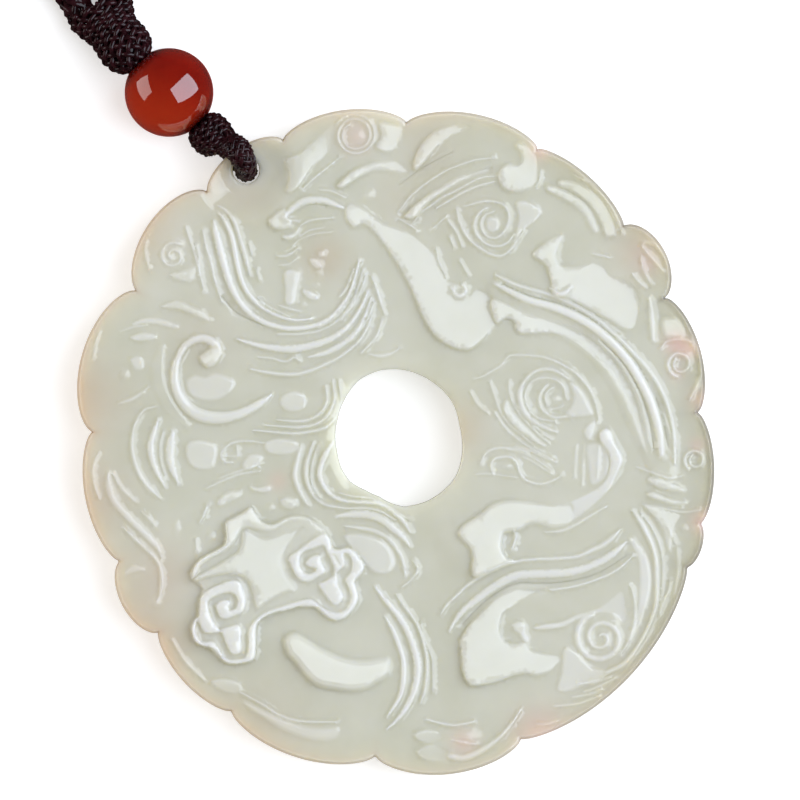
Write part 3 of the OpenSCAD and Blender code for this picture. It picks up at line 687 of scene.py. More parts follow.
def legs():
    """The bright planes of the leg and tail at the lower right and the three-grooved band."""
    yield "mound", 0.5, (466, 546, 34, 34, 0)
    yield "plane", 0.3, 3.6, (0.5, -0.24), [
        (459, 534), (463, 526), (481, 514), (488, 508), (497, 503), (510, 501), (527, 502), (540, 504),
        (553, 506), (563, 505), (571, 502), (574, 510), (570, 521), (562, 526), (550, 527), (543, 525),
        (533, 523.5), (525, 526), (519, 530), (505, 532), (502, 537), (501, 546), (503, 553), (508, 559),
        (514, 561), (505, 564), (487, 572), (475, 577), (472, 570), (473, 558), (470, 548), (464, 541)]
    yield "ridge", 0.25, 2, [
        (545, 532, 1.2), (560, 531, 2.2), (575, 525, 2.2), (590, 516, 2), (605, 507, 1.2)]
    yield "ridge", 0.4, 2, [(514, 531, 1.2), (516, 536, 1.9), (513, 547, 1.4)]
    yield "ridge", 0.4, 2, [
        (441, 614, 1.2), (447, 605, 2), (456, 596, 2.2), (468, 585, 2.2), (480, 577, 2.2), (495, 569, 2.2),
        (510, 563, 2.2), (525, 560, 2.2), (540, 559, 2.3), (575, 557, 2.4), (590, 551, 2.9),
        (603, 545, 3.2), (612, 538, 3), (620, 530, 1)]
    yield "band", 0.45, 3.5, [
        (450, 630, 1.8), (460, 614, 3.2), (472, 603, 3.8), (485, 593, 4.2), (500, 583, 4.6),
        (515, 576, 4.8), (530, 574, 4.8), (550, 573.5, 4.8), (570, 572, 4.6), (588, 567, 4.2),
        (603, 560, 4.2), (615, 552, 3.8), (626, 542, 1.4)]
    yield "groove", 0.25, 1.5, [
        (462, 624, 1.2), (480, 606, 1.8), (492, 596, 2), (505, 588, 2), (520, 583, 2), (550, 583, 2),
        (575, 580, 2), (600, 572, 1.8), (626, 556, 1.2)]
    yield "ridge", 0.4, 2, [
        (534, 592.5, 1.2), (548, 590, 1.8), (562, 588.5, 1.8), (580, 585, 1.8), (595, 580, 1.7),
        (610, 574, 1.9), (622, 566, 1.8), (633, 556, 0.8)]
    yield "plane", 0.2, 2.4, (0.56, -0.34), [
        (550, 590), (540, 592), (530, 596), (520, 601), (510, 608), (503, 613), (501, 618), (499, 628),
        (500, 635), (503, 640), (510, 644), (517, 645), (523, 643), (527, 647), (532, 651), (540, 653),
        (550, 655), (561, 659), (556, 664), (549, 671), (543, 674), (535, 675), (525, 673), (515, 675),
        (503, 679), (490, 683), (478, 685), (471, 685), (466, 680), (463, 672), (462, 660), (461, 648),
        (461, 640), (465, 632), (470, 624), (478, 616), (485, 609), (493, 601), (500, 596), (510, 591),
        (522, 589), (535, 589)]
    yield "patch", 0.12, 2, (0.4, -0.2), [
        (512, 626), (515, 623), (521, 622), (525, 626), (525, 632), (528, 638), (527, 643), (522, 639),
        (520, 634), (516, 631)]


def lower_spiral():
    yield "patch", 0.1, 3, (0.1, 0), [
        (565, 648), (577, 653), (590, 667), (606, 672), (598, 680), (582, 685), (566, 691), (558, 689),
        (562, 672)]
    yield "coil", 0.28, (601, 638, 26, 2, 110, 3, 1, (3.8, 2))
    yield "patch", 0.1, 2, (0.35, 0.1), [
        (534, 628), (548, 624), (562, 622), (577, 615), (592, 611), (603, 606), (613, 598), (622, 592),
        (625, 604), (627, 615), (623, 622), (616, 615), (604, 612), (593, 614), (578, 619), (562, 627),
        (546, 629)]
    yield "ridge", 0.25, 2, [
        (631, 587, 1), (634, 597, 1.5), (635, 610, 1.6), (634, 622, 1.6), (631, 634, 1.6), (627, 644, 1.5),
        (621, 653, 1)]
    for line in (
            [(583, 692), (595, 688), (604, 684), (614, 679)], [(573, 697), (590, 694), (602, 689)],
            [(556, 706), (575, 704), (589, 700), (599, 696)], [(578, 684), (596, 682), (610, 677)]):
        yield "ridge", 0.25, 2, [(x, y, 1.7) for x, y in line]
    yield "ridge", 0.3, 2, [(537, 724, 1.2), (547, 724, 1.8), (557, 721, 1.2)]


def tail():
    yield "mound", 0.35, (455, 745, 44, 24, 10)
    yield "ridge", 0.35, 2, [(426, 719, 1.4), (440, 723, 2), (455, 725, 2), (473, 722, 1.4)]
    yield "plane", 0.12, 2.4, (0.6, 0.2), [
        (414, 735), (424, 730), (436, 731), (442, 737), (432, 742), (420, 741)]
    yield "plane", 0.12, 2.4, (0.6, 0.2), [
        (417, 752), (430, 745), (444, 749), (451, 757), (438, 761), (424, 759)]
    yield "ridge", 0.25, 2, [(454, 740, 1.2), (463, 742, 2), (474, 744, 1.2)]
    yield "ridge", 0.5, 2, [
        (450, 756, 3.4), (462, 758, 4), (475, 754, 3.8), (490, 745, 3.2), (502, 735, 2.6), (512, 723, 2),
        (520, 711, 1.2)]


def belly():
    """The beast's round belly, the lip under it and the strands on its right."""
    yield "mound", 0.2, (330, 655, 88, 60, -12)
    yield "plane", 0.5, 6, (0.54, -0.36), [
        (285, 640), (290, 635), (298, 635), (308, 641), (320, 648), (335, 655), (350, 660), (365, 661),
        (380, 659), (388, 661), (388, 671), (384, 677), (375, 682), (365, 688), (350, 690), (335, 688),
        (320, 685), (310, 679), (302, 670), (295, 661), (288, 653)]
    yield "patch", 0.15, 6, (0.2, 0.1), [
        (244, 702), (262, 710), (290, 722), (316, 729), (338, 728), (334, 738), (312, 739), (285, 730),
        (262, 716)]
    yield "ridge", 0.35, 2, [
        (236, 690, 1.2), (262, 704, 1.8), (280, 715, 2), (300, 721, 2), (335, 722, 1.2)]
    yield "band", 0.45, 3.5, [
        (376, 588, 1.6), (388, 603, 3.2), (398, 615, 3.6), (406, 628, 3.9), (412, 642, 4), (416, 655, 4.2),
        (418, 668, 4.2), (417, 680, 4), (414, 692, 3.8), (409, 703, 3.4), (402, 714, 3), (395, 722, 2.2),
        (388, 728, 1.2)]
    yield "ridge", 0.4, 2, [
        (397, 596, 1), (405, 607, 1.8), (414, 619, 2), (420, 631, 2), (424, 645, 2), (427, 660, 2.1),
        (427, 675, 2.1), (425, 690, 1.8), (421, 702, 1)]
    yield "band", 0.4, 3, [
        (386, 618, 1.4), (393, 630, 2.6), (399, 645, 2.9), (403, 658, 3), (404, 672, 3.1), (403, 686, 2.9),
        (400, 697, 2.6), (394, 707, 2.2), (387, 717, 1.2)]
    yield "ridge", 0.25, 2, [
        (421, 623, 1), (426, 642, 1.3), (432, 658, 1.4), (433, 674, 1.4), (433, 692, 1)]
    yield "plane", 0.12, 2.4, (0.5, 0.1), [(211, 682), (226, 679), (240, 684), (240, 692), (226, 692)]


def beast_face():
    """The beast's broad nose plate with its two curled nostrils, brows and eyes."""
    yield "mound", 0.35, (211, 536, 3.4, 3.4, 0)
    yield "mound", 0.35, (270, 508, 3.4, 3.4, 0)
    yield "plane", 0.13, 2.4, (0.6, -0.2), [(281, 500), (290, 497), (298, 500), (294, 508), (284, 507)]
    yield "plane", 0.13, 2.4, (0.6, -0.2), [
        (218, 501), (228, 492), (242, 491), (239, 497), (228, 502), (220, 506)]
    yield "patch", 0.1, 2, (0.4, -0.1), [
        (250, 486), (258, 488), (268, 486), (270, 490), (262, 492), (253, 490)]
    yield "ridge", 0.25, 2, [(207, 488, 1.2), (222, 481, 1.8), (241, 474, 1.8), (260, 471, 1.2)]
    yield "ridge", 0.3, 2, [(200, 522, 1.2), (204, 515, 1.9), (207, 506, 1.2)]
    yield "ridge", 0.3, 2, [(196, 539, 1.2), (197, 549, 2)]
    outline = [
        (191, 577), (194, 568), (199, 561), (208, 555), (219, 549), (226, 542), (226, 523), (232, 519),
        (243, 513), (250, 508), (253, 510), (257, 516), (262, 522), (270, 525), (278, 523), (285, 519),
        (293, 517), (302, 517), (313, 521), (326, 533), (334, 549), (347, 549), (354, 553), (359, 559),
        (364, 566), (360, 575), (353, 583), (356, 596), (355, 607), (350, 613), (344, 618), (337, 620),
        (330, 618), (322, 613), (315, 606), (309, 600), (303, 600), (293, 604), (283, 608), (272, 612),
        (263, 617), (256, 623), (252, 632), (253, 657), (247, 662), (238, 663), (227, 663), (219, 657),
        (212, 650), (205, 644), (197, 641), (193, 634), (193, 626), (198, 620), (199, 602), (203, 591),
        (199, 584)]
    yield "base", 0.3, 3, (0.1, -0.1), outline
    yield "plane", 0.6, 2.4, (0.53, -0.32), [
        (226, 523), (232, 519), (243, 513), (250, 508), (253, 510), (257, 516), (262, 522), (270, 525),
        (278, 523), (285, 519), (293, 516.5), (303, 517), (311, 520), (305, 520.5), (296, 519.5),
        (288, 521), (280, 526), (271, 530), (262, 530), (253, 528), (246, 527), (241, 529), (238, 535),
        (233, 543), (226, 549), (217, 554), (207, 559), (200, 565), (196, 573), (192, 578), (194, 568),
        (199, 561), (208, 555), (219, 549), (226, 542)]
    yield "plane", 0.55, 3, (0.53, -0.32), [
        (243, 532), (248, 530), (255, 535), (262, 538), (270, 538), (280, 535), (290, 531), (303, 527),
        (292, 541), (284, 549), (280, 560), (282, 570), (287, 580), (295, 590), (286, 592), (275, 597),
        (265, 603), (257, 608), (255, 598), (252, 588), (248, 580), (241, 575), (230, 573), (218, 574),
        (205, 577), (195, 580), (201, 575), (212, 569), (222, 563), (233, 556), (240, 550), (243, 541)]
    # Right nostril: its spiral, the cheek beside it and the tooth under it
    yield "facet", 0.62, 2.2, (0.2, -0.1), [
        (322, 545), (315, 547.5), (307, 549.5), (302, 553), (299.5, 558), (299.5, 564), (302, 570),
        (306, 573.5), (310, 574), (315, 572), (316.5, 568.5), (312, 567), (307, 565.5), (306.5, 562),
        (310, 558), (316, 555.5), (320, 556), (321, 561), (323, 566), (325.5, 570), (324, 573), (318, 576),
        (312, 580), (305, 581.5), (299, 579), (295, 574), (292, 567), (289.5, 560), (290.5, 556),
        (296, 552), (303, 547), (311, 541), (319, 536), (325, 534), (329, 538), (331, 544), (333, 549),
        (340, 550), (344, 548.5), (350, 548.5), (355, 552), (359, 557), (363, 564), (364, 569), (360, 574),
        (355, 579), (355, 585), (357, 592), (358, 599), (355, 606), (350, 612), (345, 617), (338, 619.5),
        (332, 619), (325, 614), (320, 609), (315, 606.5), (308, 606), (300, 606), (292, 608), (285, 610),
        (276, 612), (268, 615), (261, 619), (256.5, 625), (255.5, 634), (255.5, 646), (254.5, 657),
        (250, 660.5), (240, 663), (229, 663), (222, 658), (217, 651), (211, 647.5), (202, 645.5),
        (195, 641), (192.5, 634), (192.5, 626), (195, 619), (199, 616), (200, 608), (201, 598), (206, 592),
        (213, 588), (221, 584.5), (229, 581.5), (236, 581), (240.5, 584), (243, 590), (245, 598),
        (245, 606), (242, 612), (235, 615), (226, 618), (221, 617), (218, 612), (216.5, 606), (220, 602),
        (226, 600.5), (230, 602), (229, 606), (229, 610.5), (234, 609.5), (237.5, 606), (238, 600),
        (235, 594.5), (231, 592), (224, 592.5), (216, 595), (209.5, 599), (207.5, 603), (209, 611),
        (211.5, 619), (215, 625), (219.5, 630), (224, 628.5), (231, 626.5), (237, 625), (240.5, 628),
        (241, 640), (241, 651), (237, 653.5), (232, 653.5), (228.5, 648), (225, 640), (222.5, 633),
        (219, 631.5), (208, 632.5), (204, 631), (201, 626), (197.5, 620), (195.5, 626), (195.5, 632),
        (198, 638), (203, 642.5), (213, 642), (218, 648), (223, 656), (229, 660), (240, 659.5),
        (246, 657.5), (249, 650), (249, 636), (250, 628), (254, 622.5), (261, 616), (270, 611),
        (283, 606.5), (293, 603), (301, 600.5), (310, 599.5), (315, 602), (321, 607), (328, 611),
        (337, 613), (344, 611), (349, 606), (351.5, 599), (350, 590), (347, 584), (346, 579), (350, 574),
        (353, 568), (352.5, 561), (349.5, 555), (345, 552.5), (343, 556), (345, 561), (344.5, 565.5),
        (340, 569), (336.5, 573), (337, 580), (339, 587), (343, 595), (342.5, 599.5), (338, 604),
        (335, 604.5), (329, 600), (324, 593), (320, 587), (319, 584), (326, 581), (332, 577), (335, 574),
        (334, 567), (331, 560), (327, 551), (325, 546)]
    yield "groove", 0.12, 2, [(334, 555, 1.2), (337, 560, 2.6), (340, 565, 1.2)]


def hole_ribbons():
    """Ribbons and brow lines that run round the middle hole's left side."""
    yield "patch", 0.12, 4, (0.2, -0.2), [
        (345, 536), (365, 535), (380, 540), (390, 550), (394, 562), (388, 572), (375, 572), (365, 563),
        (355, 551)]
    yield "band", 0.4, 3.5, [
        (333, 442, 1.8), (326, 454, 3.4), (321, 466, 3.2), (320, 477, 3), (325, 488, 2.8), (333, 496, 2.6),
        (346, 501, 2.4), (362, 502, 2.4), (378, 503, 2.4), (388, 508, 2.4), (398, 516, 2.4),
        (405, 523, 2.4), (410, 532, 1.4)]
    yield "ridge", 0.3, 2, [
        (340, 493, 1.2), (352, 496, 1.6), (370, 498, 1.6), (384, 503, 1.6), (396, 511, 1.6), (408, 519, 1)]
    yield "ridge", 0.35, 2, [
        (313, 443, 1.2), (308, 458, 2.2), (306, 472, 2.4), (308, 485, 2.4), (314, 496, 2.2), (324, 504, 2),
        (345, 508, 1.8), (365, 508, 1.8), (380, 511, 1.8), (395, 520, 1.2)]
    yield "ridge", 0.25, 2, [
        (318, 445, 1), (313, 460, 1.5), (311, 475, 1.6), (314, 489, 1.6), (322, 500, 1)]
    yield "ridge", 0.3, 3, [
        (301, 446, 1.6), (297, 462, 3), (295, 476, 3.2), (300, 492, 2.8), (308, 505, 1.6)]
    yield "band", 0.35, 3.5, [
        (338, 516, 2), (355, 514, 4.2), (370, 515, 4.6), (383, 520, 4.6), (393, 528, 4.2), (402, 536, 3.4),
        (409, 545, 1.6)]
    yield "ridge", 0.3, 3, [
        (345, 526, 1.4), (360, 528, 2.4), (375, 531, 2.6), (388, 538, 2.6), (397, 549, 2.6),
        (403, 561, 2.4), (405, 574, 1.4)]
    yield "ridge", 0.3, 2, [(414, 562, 1.2), (418, 570, 1.8), (411, 580, 1.6), (401, 588, 1)]
    yield "ridge", 0.4, 2, [(326, 387, 1.2), (327, 402, 1.8), (318, 415, 2), (302, 421, 2), (278, 420, 1.2)]
    yield "ridge", 0.4, 2, [(333, 382, 1.2), (334, 402, 1.8), (323, 420, 2), (302, 427, 2), (265, 425, 1.2)]
    yield "ridge", 0.4, 2, [
        (339, 382, 1.2), (341, 406, 1.8), (328, 426, 2), (302, 433, 2.2), (285, 433, 2), (254, 430, 1.2)]
    yield "patch", 0.08, 3, (0.3, 0), [
        (283, 396), (296, 392), (306, 398), (303, 408), (290, 411), (281, 405)]
    yield "patch", 0.08, 3, (0.3, 0), [
        (266, 443), (280, 439), (296, 442), (299, 450), (284, 454), (268, 452)]


def hook_and_clouds():
    """The large hooked curl on the left, its pillow, the clouds and the strands below."""
    yield "patch", 0.1, 4, (0.1, 0), [
        (187, 381), (195, 376), (205, 378), (215, 374), (227, 377), (234, 382), (230, 391), (220, 398),
        (208, 400), (195, 397), (188, 390)]
    yield "ridge", 0.08, 5, [(162, 346, 3), (157, 366, 7), (160, 388, 7), (171, 408, 6), (188, 426, 3)]
    yield "band", 0.6, 3.5, [
        (218, 352, 4.6), (215, 344, 4.8), (205, 338.5, 4.6), (195, 339.5, 4.3), (186, 345, 3.9),
        (180, 354, 4), (176, 365, 4.2), (175, 380, 4.8), (178, 393, 5.4), (185, 404, 6.2), (196, 413, 6.8),
        (208, 417, 7), (222, 417.5, 6.4), (236, 415, 5.4), (250, 409, 4.8), (262, 402, 4), (271, 395, 1.4)]
    yield "plane", 0.32, 3, (0.6, -0.2), [
        (200, 357), (206, 352), (211, 348), (216, 345), (221, 350), (220, 358), (215, 364), (208, 367),
        (202, 363)]
    yield "plane", 0.15, 2.4, (0.45, -0.45), [
        (161, 307), (168, 303), (175, 301), (183, 302), (191, 306), (200, 310), (207, 317), (210, 322),
        (205, 320), (198, 317), (190, 313), (181, 310), (172, 308)]
    yield "patch", 0.1, 2.4, (0.3, -0.3), [
        (132, 325), (140, 320), (152, 318), (165, 320), (175, 324), (179, 328), (169, 327), (158, 324),
        (145, 323)]
    yield "ridge", 0.15, 2, [(122, 331, 1.2), (134, 327, 1.8), (148, 325, 1.2)]
    yield "patch", 0.1, 2.4, (0.3, -0.3), [
        (131, 337), (143, 333), (154, 335), (157, 338), (145, 340), (134, 340)]
    yield "ridge", 0.2, 2, [(99, 332, 1.2), (95, 345, 1.7), (93, 358, 1.2)]
    yield "mound", 0.3, (125, 375, 4, 6, 0)
    yield "patch", 0.06, 3, (0.2, 0), [(131, 360), (141, 357), (143, 368), (136, 369)]
    yield "ridge", 0.2, 2, [(120, 403, 1.4), (130, 400, 2.4), (139, 395, 2.2), (148, 388, 1.2)]
    yield "mound", 0.25, (165, 245, 30, 36, -20)
    yield "coil", 0.25, (173, 256, 14, 1.5, 60, 3, 1, (1.8, 1.5))
    yield "plane", 0.12, 2.4, (0.6, 0.1), [
        (170, 275), (183, 271), (195, 267), (194, 277), (190, 282), (180, 280)]
    yield "ridge", 0.2, 2, [(151, 228, 1), (145, 248, 1.5), (149, 270, 1)]
    yield "ridge", 0.3, 2, [(186, 228, 1), (195, 255, 1.6), (204, 290, 1)]
    yield "ridge", 0.25, 2, [
        (154, 407, 1.4), (144, 410, 1.9), (137, 420, 1.9), (133, 432, 1.8), (132, 445, 2.2),
        (134, 460, 2.6), (140, 475, 2.6), (150, 488, 2.2), (160, 498, 1.2)]
    yield "band", 0.35, 3, [
        (158, 421, 1.4), (154, 432, 3.2), (151, 445, 3.8), (152, 458, 3.6), (157, 472, 3), (164, 485, 1.4)]
    yield "band", 0.35, 3.5, [
        (173, 432, 2.2), (171, 444, 4.8), (170, 458, 4.8), (173, 470, 4), (178, 482, 1.8)]
    yield "ridge", 0.15, 2, [(163, 432, 1), (160, 445, 1.5), (161, 462, 1.4), (166, 478, 1)]
    yield "patch", 0.1, 3.5, (0.3, 0.05), [
        (187, 446), (195, 441), (208, 442), (216, 447), (215, 460), (211, 468), (196, 468), (188, 460)]
    yield "ridge", 0.25, 2, [
        (263, 443, 1.2), (250, 441, 1.7), (235, 442, 1.8), (226, 447, 1.8), (221, 455, 1.8),
        (225, 462, 1.7), (232, 462, 1.2)]
    yield "ridge", 0.2, 2, [(237, 447, 1.2), (237, 456, 1.6), (228, 456, 1.2)]
    yield "patch", 0.1, 3, (0.4, -0.1), [
        (243, 464), (249, 456), (259, 455), (262, 460), (252, 468), (245, 468)]
    yield "ridge", 0.2, 2, [(220, 478, 1.2), (233, 473, 1.8), (246, 469, 1.8), (262, 464, 1)]
    yield "ridge", 0.25, 2, [(99, 452, 1.2), (94, 463, 1.8), (93, 476, 1.9), (95, 488, 1.8), (99, 498, 1.2)]
    yield "ridge", 0.22, 3, [
        (108, 474, 2), (109, 488, 4), (114, 501, 4.2), (125, 514, 3.8), (138, 527, 3.6), (150, 539, 3.6),
        (158, 548, 3), (162, 558, 1.4)]
    yield "ridge", 0.12, 2, [(113, 474, 1.2), (122, 489, 2.2), (136, 502, 1.4)]
    yield "ridge", 0.15, 2, [(142, 512, 1.2), (149, 518, 2.4), (154, 525, 1.2)]
    yield "ridge", 0.12, 2, [(139, 476, 1.2), (148, 489, 2.2), (158, 497, 1.2)]
    yield "ridge", 0.3, 2, [
        (123, 527, 1.2), (134, 538, 2.2), (146, 549, 2.2), (155, 558, 2.2), (160, 567, 2.4),
        (162, 579, 2.6), (161, 591, 2.2), (158, 600, 1.4)]
    yield "patch", 0.08, 3, (0.3, 0.1), [
        (124, 575), (128, 569), (134, 565), (141, 567), (145, 570), (138, 571), (130, 573)]
    yield "mound", 0.3, (156, 602, 7, 5, -15)
    yield "mound", 0.12, (125, 588, 6, 8, 0)
    yield "mound", 0.15, (176, 527, 5, 12, 0)
    yield "ridge", 0.25, 2, [(172, 640, 1.2), (186, 662, 2), (204, 680, 1.2)]


def top_lobes():
    """The ear beside the cord hole, the top lobe's spiral and the leaves round it."""
    yield "coil", 0.3, (355, 135, 21.5, 2.1, 150, 12, -1, (1.6, 1.2))
    yield "mound", 0.16, (356, 136, 13, 12, 0)
    yield "plane", 0.12, 2.4, (0.68, 0.08), [
        (286, 160), (299, 154), (316, 139), (333, 125), (332, 137), (328, 152), (312, 167), (300, 185),
        (288, 192), (290, 176)]
    yield "ridge", 0.3, 2, [(303, 189, 1.2), (312, 180, 1.6), (322, 172, 1.6), (339, 158, 1.2)]
    yield "plane", 0.12, 2.4, (0.67, 0.08), [
        (380, 123), (399, 127), (399, 136), (393, 149), (386, 152), (376, 147), (382, 136)]
    yield "plane", 0.18, 2.2, (0.57, -0.37), [
        (337, 186), (347, 176), (357, 169), (370, 164), (383, 161), (397, 162), (409, 171), (400, 173),
        (390, 171), (375, 170), (362, 175), (351, 182), (343, 187)]
    yield "ridge", 0.25, 2, [(320, 190, 1.2), (332, 191, 1.6), (344, 197, 1.2)]
    yield "mound", 0.25, (367, 195, 10, 7, 20)
    yield "plane", 0.12, 2.4, (0.4, 0.2), [
        (222, 161), (228, 172), (232, 184), (224, 192), (213, 194), (210, 184), (215, 173)]
    yield "ridge", 0.25, 2, [
        (235, 166, 1), (239, 177, 1.4), (246, 181, 1.4), (254, 176, 1.4), (259, 166, 1)]
    yield "mound", 0.2, (270, 188, 12, 8, 30)


def last_cut():
    """A cut that parts the mane's strands where they start."""
    yield "groove", 0.3, 1.5, [(262, 325, 1.2), (236, 312, 1.6), (222, 296, 1.2)]


CARVING = [cut for part in (
    top_lobes, mane, dragon_head, neck_and_ribbon, upper_spiral, haunch, long_band, right_lobes,
    main_spiral, legs, lower_spiral, tail, belly, beast_face, hole_ribbons, hook_and_clouds,
    last_cut) for cut in part()]


def closed(line):
    return np.concatenate([line, line[:1]])


def form_line(kind, rest):
    """The middle line of a raised or cut line, or the border of a flat form."""
    if kind == "coil":
        return spiral_line(*rest[0])
    return smooth_line(rest[-1], closed=kind in FLAT)


def mound_shape(q, x, y, half_x, half_y, turn):
    d = q - np.array([x, y])
    c, s = cos(radians(turn)), sin(radians(turn))
    u = (d[:, 0] * c - d[:, 1] * s) / half_x
    v = (d[:, 0] * s + d[:, 1] * c) / half_y
    return np.maximum(1 - u * u - v * v, 0) ** 2


def carve(q):
    """Height of the carving over the ground in mm, and its painted light, from painted shade of -1 in cuts
    to painted highlight of 1 on crests.
    """
    lift, painted_light = np.zeros(len(q)), np.zeros(len(q))
    for kind, height, *rest in CARVING:
        if kind == "mound":
            x, y, *halves = rest[0][:4]
            near = np.flatnonzero((np.abs(q - np.array([x, y])) < max(halves)).all(1))
            lift[near] += RELIEF * height * mound_shape(q[near], *rest[0])
            continue
        line = form_line(kind, rest)
        sharp = COIL_SHARP if kind == "coil" else rest[0]
        reach = rest[0] if kind in FLAT else line[:, 2].max()
        low, high = line[:, :2].min(0) - reach, line[:, :2].max(0) + reach
        near = np.flatnonzero(((q > low) & (q < high)).all(1))
        if not len(near):
            continue
        p = q[near]
        if kind in FLAT:
            border, fall, _ = rest
            d = nearest(p, closed(line))[0] * np.where(inside(p, line), 1, -1)
            middle = (line.min(0) + line.max(0)) / 2
            top = height + (middle - p) @ (np.array(fall) / 100)
            share = soft_step(d / border + 0.5)
            lift[near] += (top - lift[near]) * share
            # Flat forms get a painted highlight
            painted_light[near] += (FLAT[kind] - painted_light[near]) * share
            continue
        d, width = nearest(p, line)
        rise = 1 - np.minimum(d / width, 1) ** sharp
        sign = -1 if kind == "groove" else 1
        lift[near] += RELIEF * height * rise * sign
        # Bands and raised lines get a painted highlight, cuts a painted shade
        if kind == "band":
            painted_light[near] += (BAND_PAINTED_HIGHLIGHT - painted_light[near]) * np.sqrt(rise)
        elif sharp < FLAT_TOP:
            painted_light_share = np.minimum(width * LINE_PAINTED_HIGHLIGHT, MOST_PAINTED_HIGHLIGHT)
            painted_light[near] += (max(sign, CUT_PAINTED_SHADE) - painted_light[near]) * rise * painted_light_share
    return lift, painted_light


# Rounding of the holes' edges and width of the rise from the collar, in px
HOLE_ROUND, COLLAR_RISE = 2.2, 9.0
# The mesh's steps round the outline and the holes, and its rings of places in px from their edges
RIM_STEPS, HOLE_STEPS, CORD_HOLE_STEPS = 1120, 240, 48
FACE_RINGS = (0.4, 0.9, 1.6, 2.4, 3.1, 3.6, 4.3, 6.0, 8.5)
BACK_RINGS = (0.5, 1.5, 3, 5, 8, 12, 17, 23)
HOLE_RINGS = (0.5, 1.2, 2.2, 4.0)
# Rings this deep have half the steps, and details end this far from the outline
DEEP_RING, DETAIL_END = 5, 7
# Room in px that places leave to the outline and to the holes
RIM_ROOM, HOLE_ROOM = 0.12, 0.4
# Share of the way to the outline past which places are tested against the rim's own loop
NEAR_RIM = 0.97
# Across a form, places lie at these shares of its border or half width, and along it at a step in px
BORDER_OFFSETS, BORDER_STEP = (-0.5, -0.2, 0.2, 0.5, 1.0), 1.9
LINE_OFFSETS, WIDE_OFFSETS, LINE_STEP = (0, -1, 1, -0.5, 0.5), (0, -1, 1, -0.8, 0.8, -0.4, 0.4), 1.7
WIDE_LINE = 3.2
SEAT_OFFSETS = (0, 0.5, -0.5, 0.8, -0.8, 0.94, -0.94, 0.995, -0.995, 1.03, -1.03)
SEAT_STEP, SEAT_WAY = 1.5, 6
# The even field that fills each side: its step, its room to other places and the cell that thins those
FACE_FIELD, BACK_FIELD = (3.4, 2.2, 1.15), (11.0, 3.0, 0.9)
FIELD_X, FIELD_Y, ROW_SHARE, GRID = (60, 740), (60, 800), 0.866, 900
# Most cells of a row, how near in px places are one, how near in px a hole's own edges lie to it,
# and the width in mm of the seam where both sides are sewn
MOST_CELLS, SAME_PLACE, EDGE_ROOM, SEAM = 10000, 1e-5, 0.2, 0.005
# Tints of the rim, as shares: its width, the width of the duller lip in LIP_SHARE, how far the rim
# and the lit edge get painted shade on one side, how far the whole edge gets it, and how far both are warmer
RIM_TINT_W, LIP_TINT_W = 0.1, 1.3
RIM_SHADE, LIT_SHADE, EDGE_SHADE, SHADED_WAY = 0.42, 0.75, 0.1, (0.95, -0.05)
RIM_WARMTH, LIT_WARMTH, EVEN_WARMTH, COOLER_WAY = 0.35, 0.4, 0.65, (0.4, 0)
# Spots of warmer and of pink stone. Columns: x, y, reach in px and strength
WARM_SPOTS = [
    (157, 645, 36, 0.5), (84, 400, 40, 0.5), (150, 230, 40, 0.25), (250, 740, 60, 0.25),
    (240, 190, 34, 0.3), (325, 258, 22, 0.4), (455, 205, 40, 0.1), (458, 428, 26, 0.4),
    (640, 250, 30, 0.3), (95, 500, 40, 0.4), (200, 340, 40, 0.15), (395, 200, 26, 0.12),
    (130, 610, 30, 0.2), (440, 90, 30, 0.2), (165, 578, 30, 0.3), (150, 560, 34, 0.15),
    (428, 150, 30, 0.18), (350, 112, 26, 0.15), (620, 680, 40, 0.1),
]
PINK_SPOTS = [
    (703, 522, 12, 0.5), (676, 344, 12, 0.6), (690, 350, 9, 0.4), (697, 445, 8, 0.3), (648, 265, 10, 0.2),
    (677, 374, 9, 0.25), (699, 400, 12, 0.3), (640, 255, 16, 0.15), (150, 655, 14, 0.25),
    (540, 735, 26, 0.5), (540, 150, 10, 0.5), (356, 138, 16, 0.3), (464, 742, 14, 0.4), (278, 481, 10, 0.3),
]


def seat_height(q):
    """Height that the cord's seat takes out of the back, in mm; zero beside it."""
    way = np.array(to_drawing(-sin(HANGER_LEAN), cos(HANGER_LEAN))) - AXIS
    way = way / np.hypot(*way)
    off = q - CORD_HOLE
    along = off @ way
    across = np.abs(off[:, 0] * way[1] - off[:, 1] * way[0]) * PX
    r = CORD_HOLE_R * PX
    arch = SEAT_H - r + np.sqrt(np.maximum(r * r - across * across, 0))
    return np.where((along > 0) & (across < r), arch, 0.0)


def face_height(q):
    """Height of the carved face in mm."""
    share = outline_share(q)
    from_middle, from_cord = from_holes(q)
    fall = np.clip((share - FALL_START) / (1 - FALL_START), 0, 1) ** 2
    z = GROUND_Z + carve(q)[0] * (1 - 0.5 * fall) - FACE_FALL * fall
    z = COLLAR_Z + (z - COLLAR_Z) * soft_step(from_middle / COLLAR_RISE)
    z = z + (EAR_Z - z) * soft_step(1 - (from_cord - EAR_W) / EAR_BLEND)
    for gap in (from_middle, from_cord):
        z = z - HOLE_ROUND * PX * (1 - rounded(gap / HOLE_ROUND))
    edge = np.maximum(RIM_Z, seat_height(q))
    return edge + (z - edge) * rounded((1 - share) / LIP_SHARE)


def back_height(q):
    """Height of the back in mm: flat, rounded up to the rim, with the cord's seat in it."""
    z = RIM_Z * (1 - rounded((1 - outline_share(q)) / (1 - BACK_END)))
    for gap in from_holes(q):
        z = z + HOLE_ROUND * PX * (1 - rounded(gap / HOLE_ROUND))
    return np.maximum(z, seat_height(q))


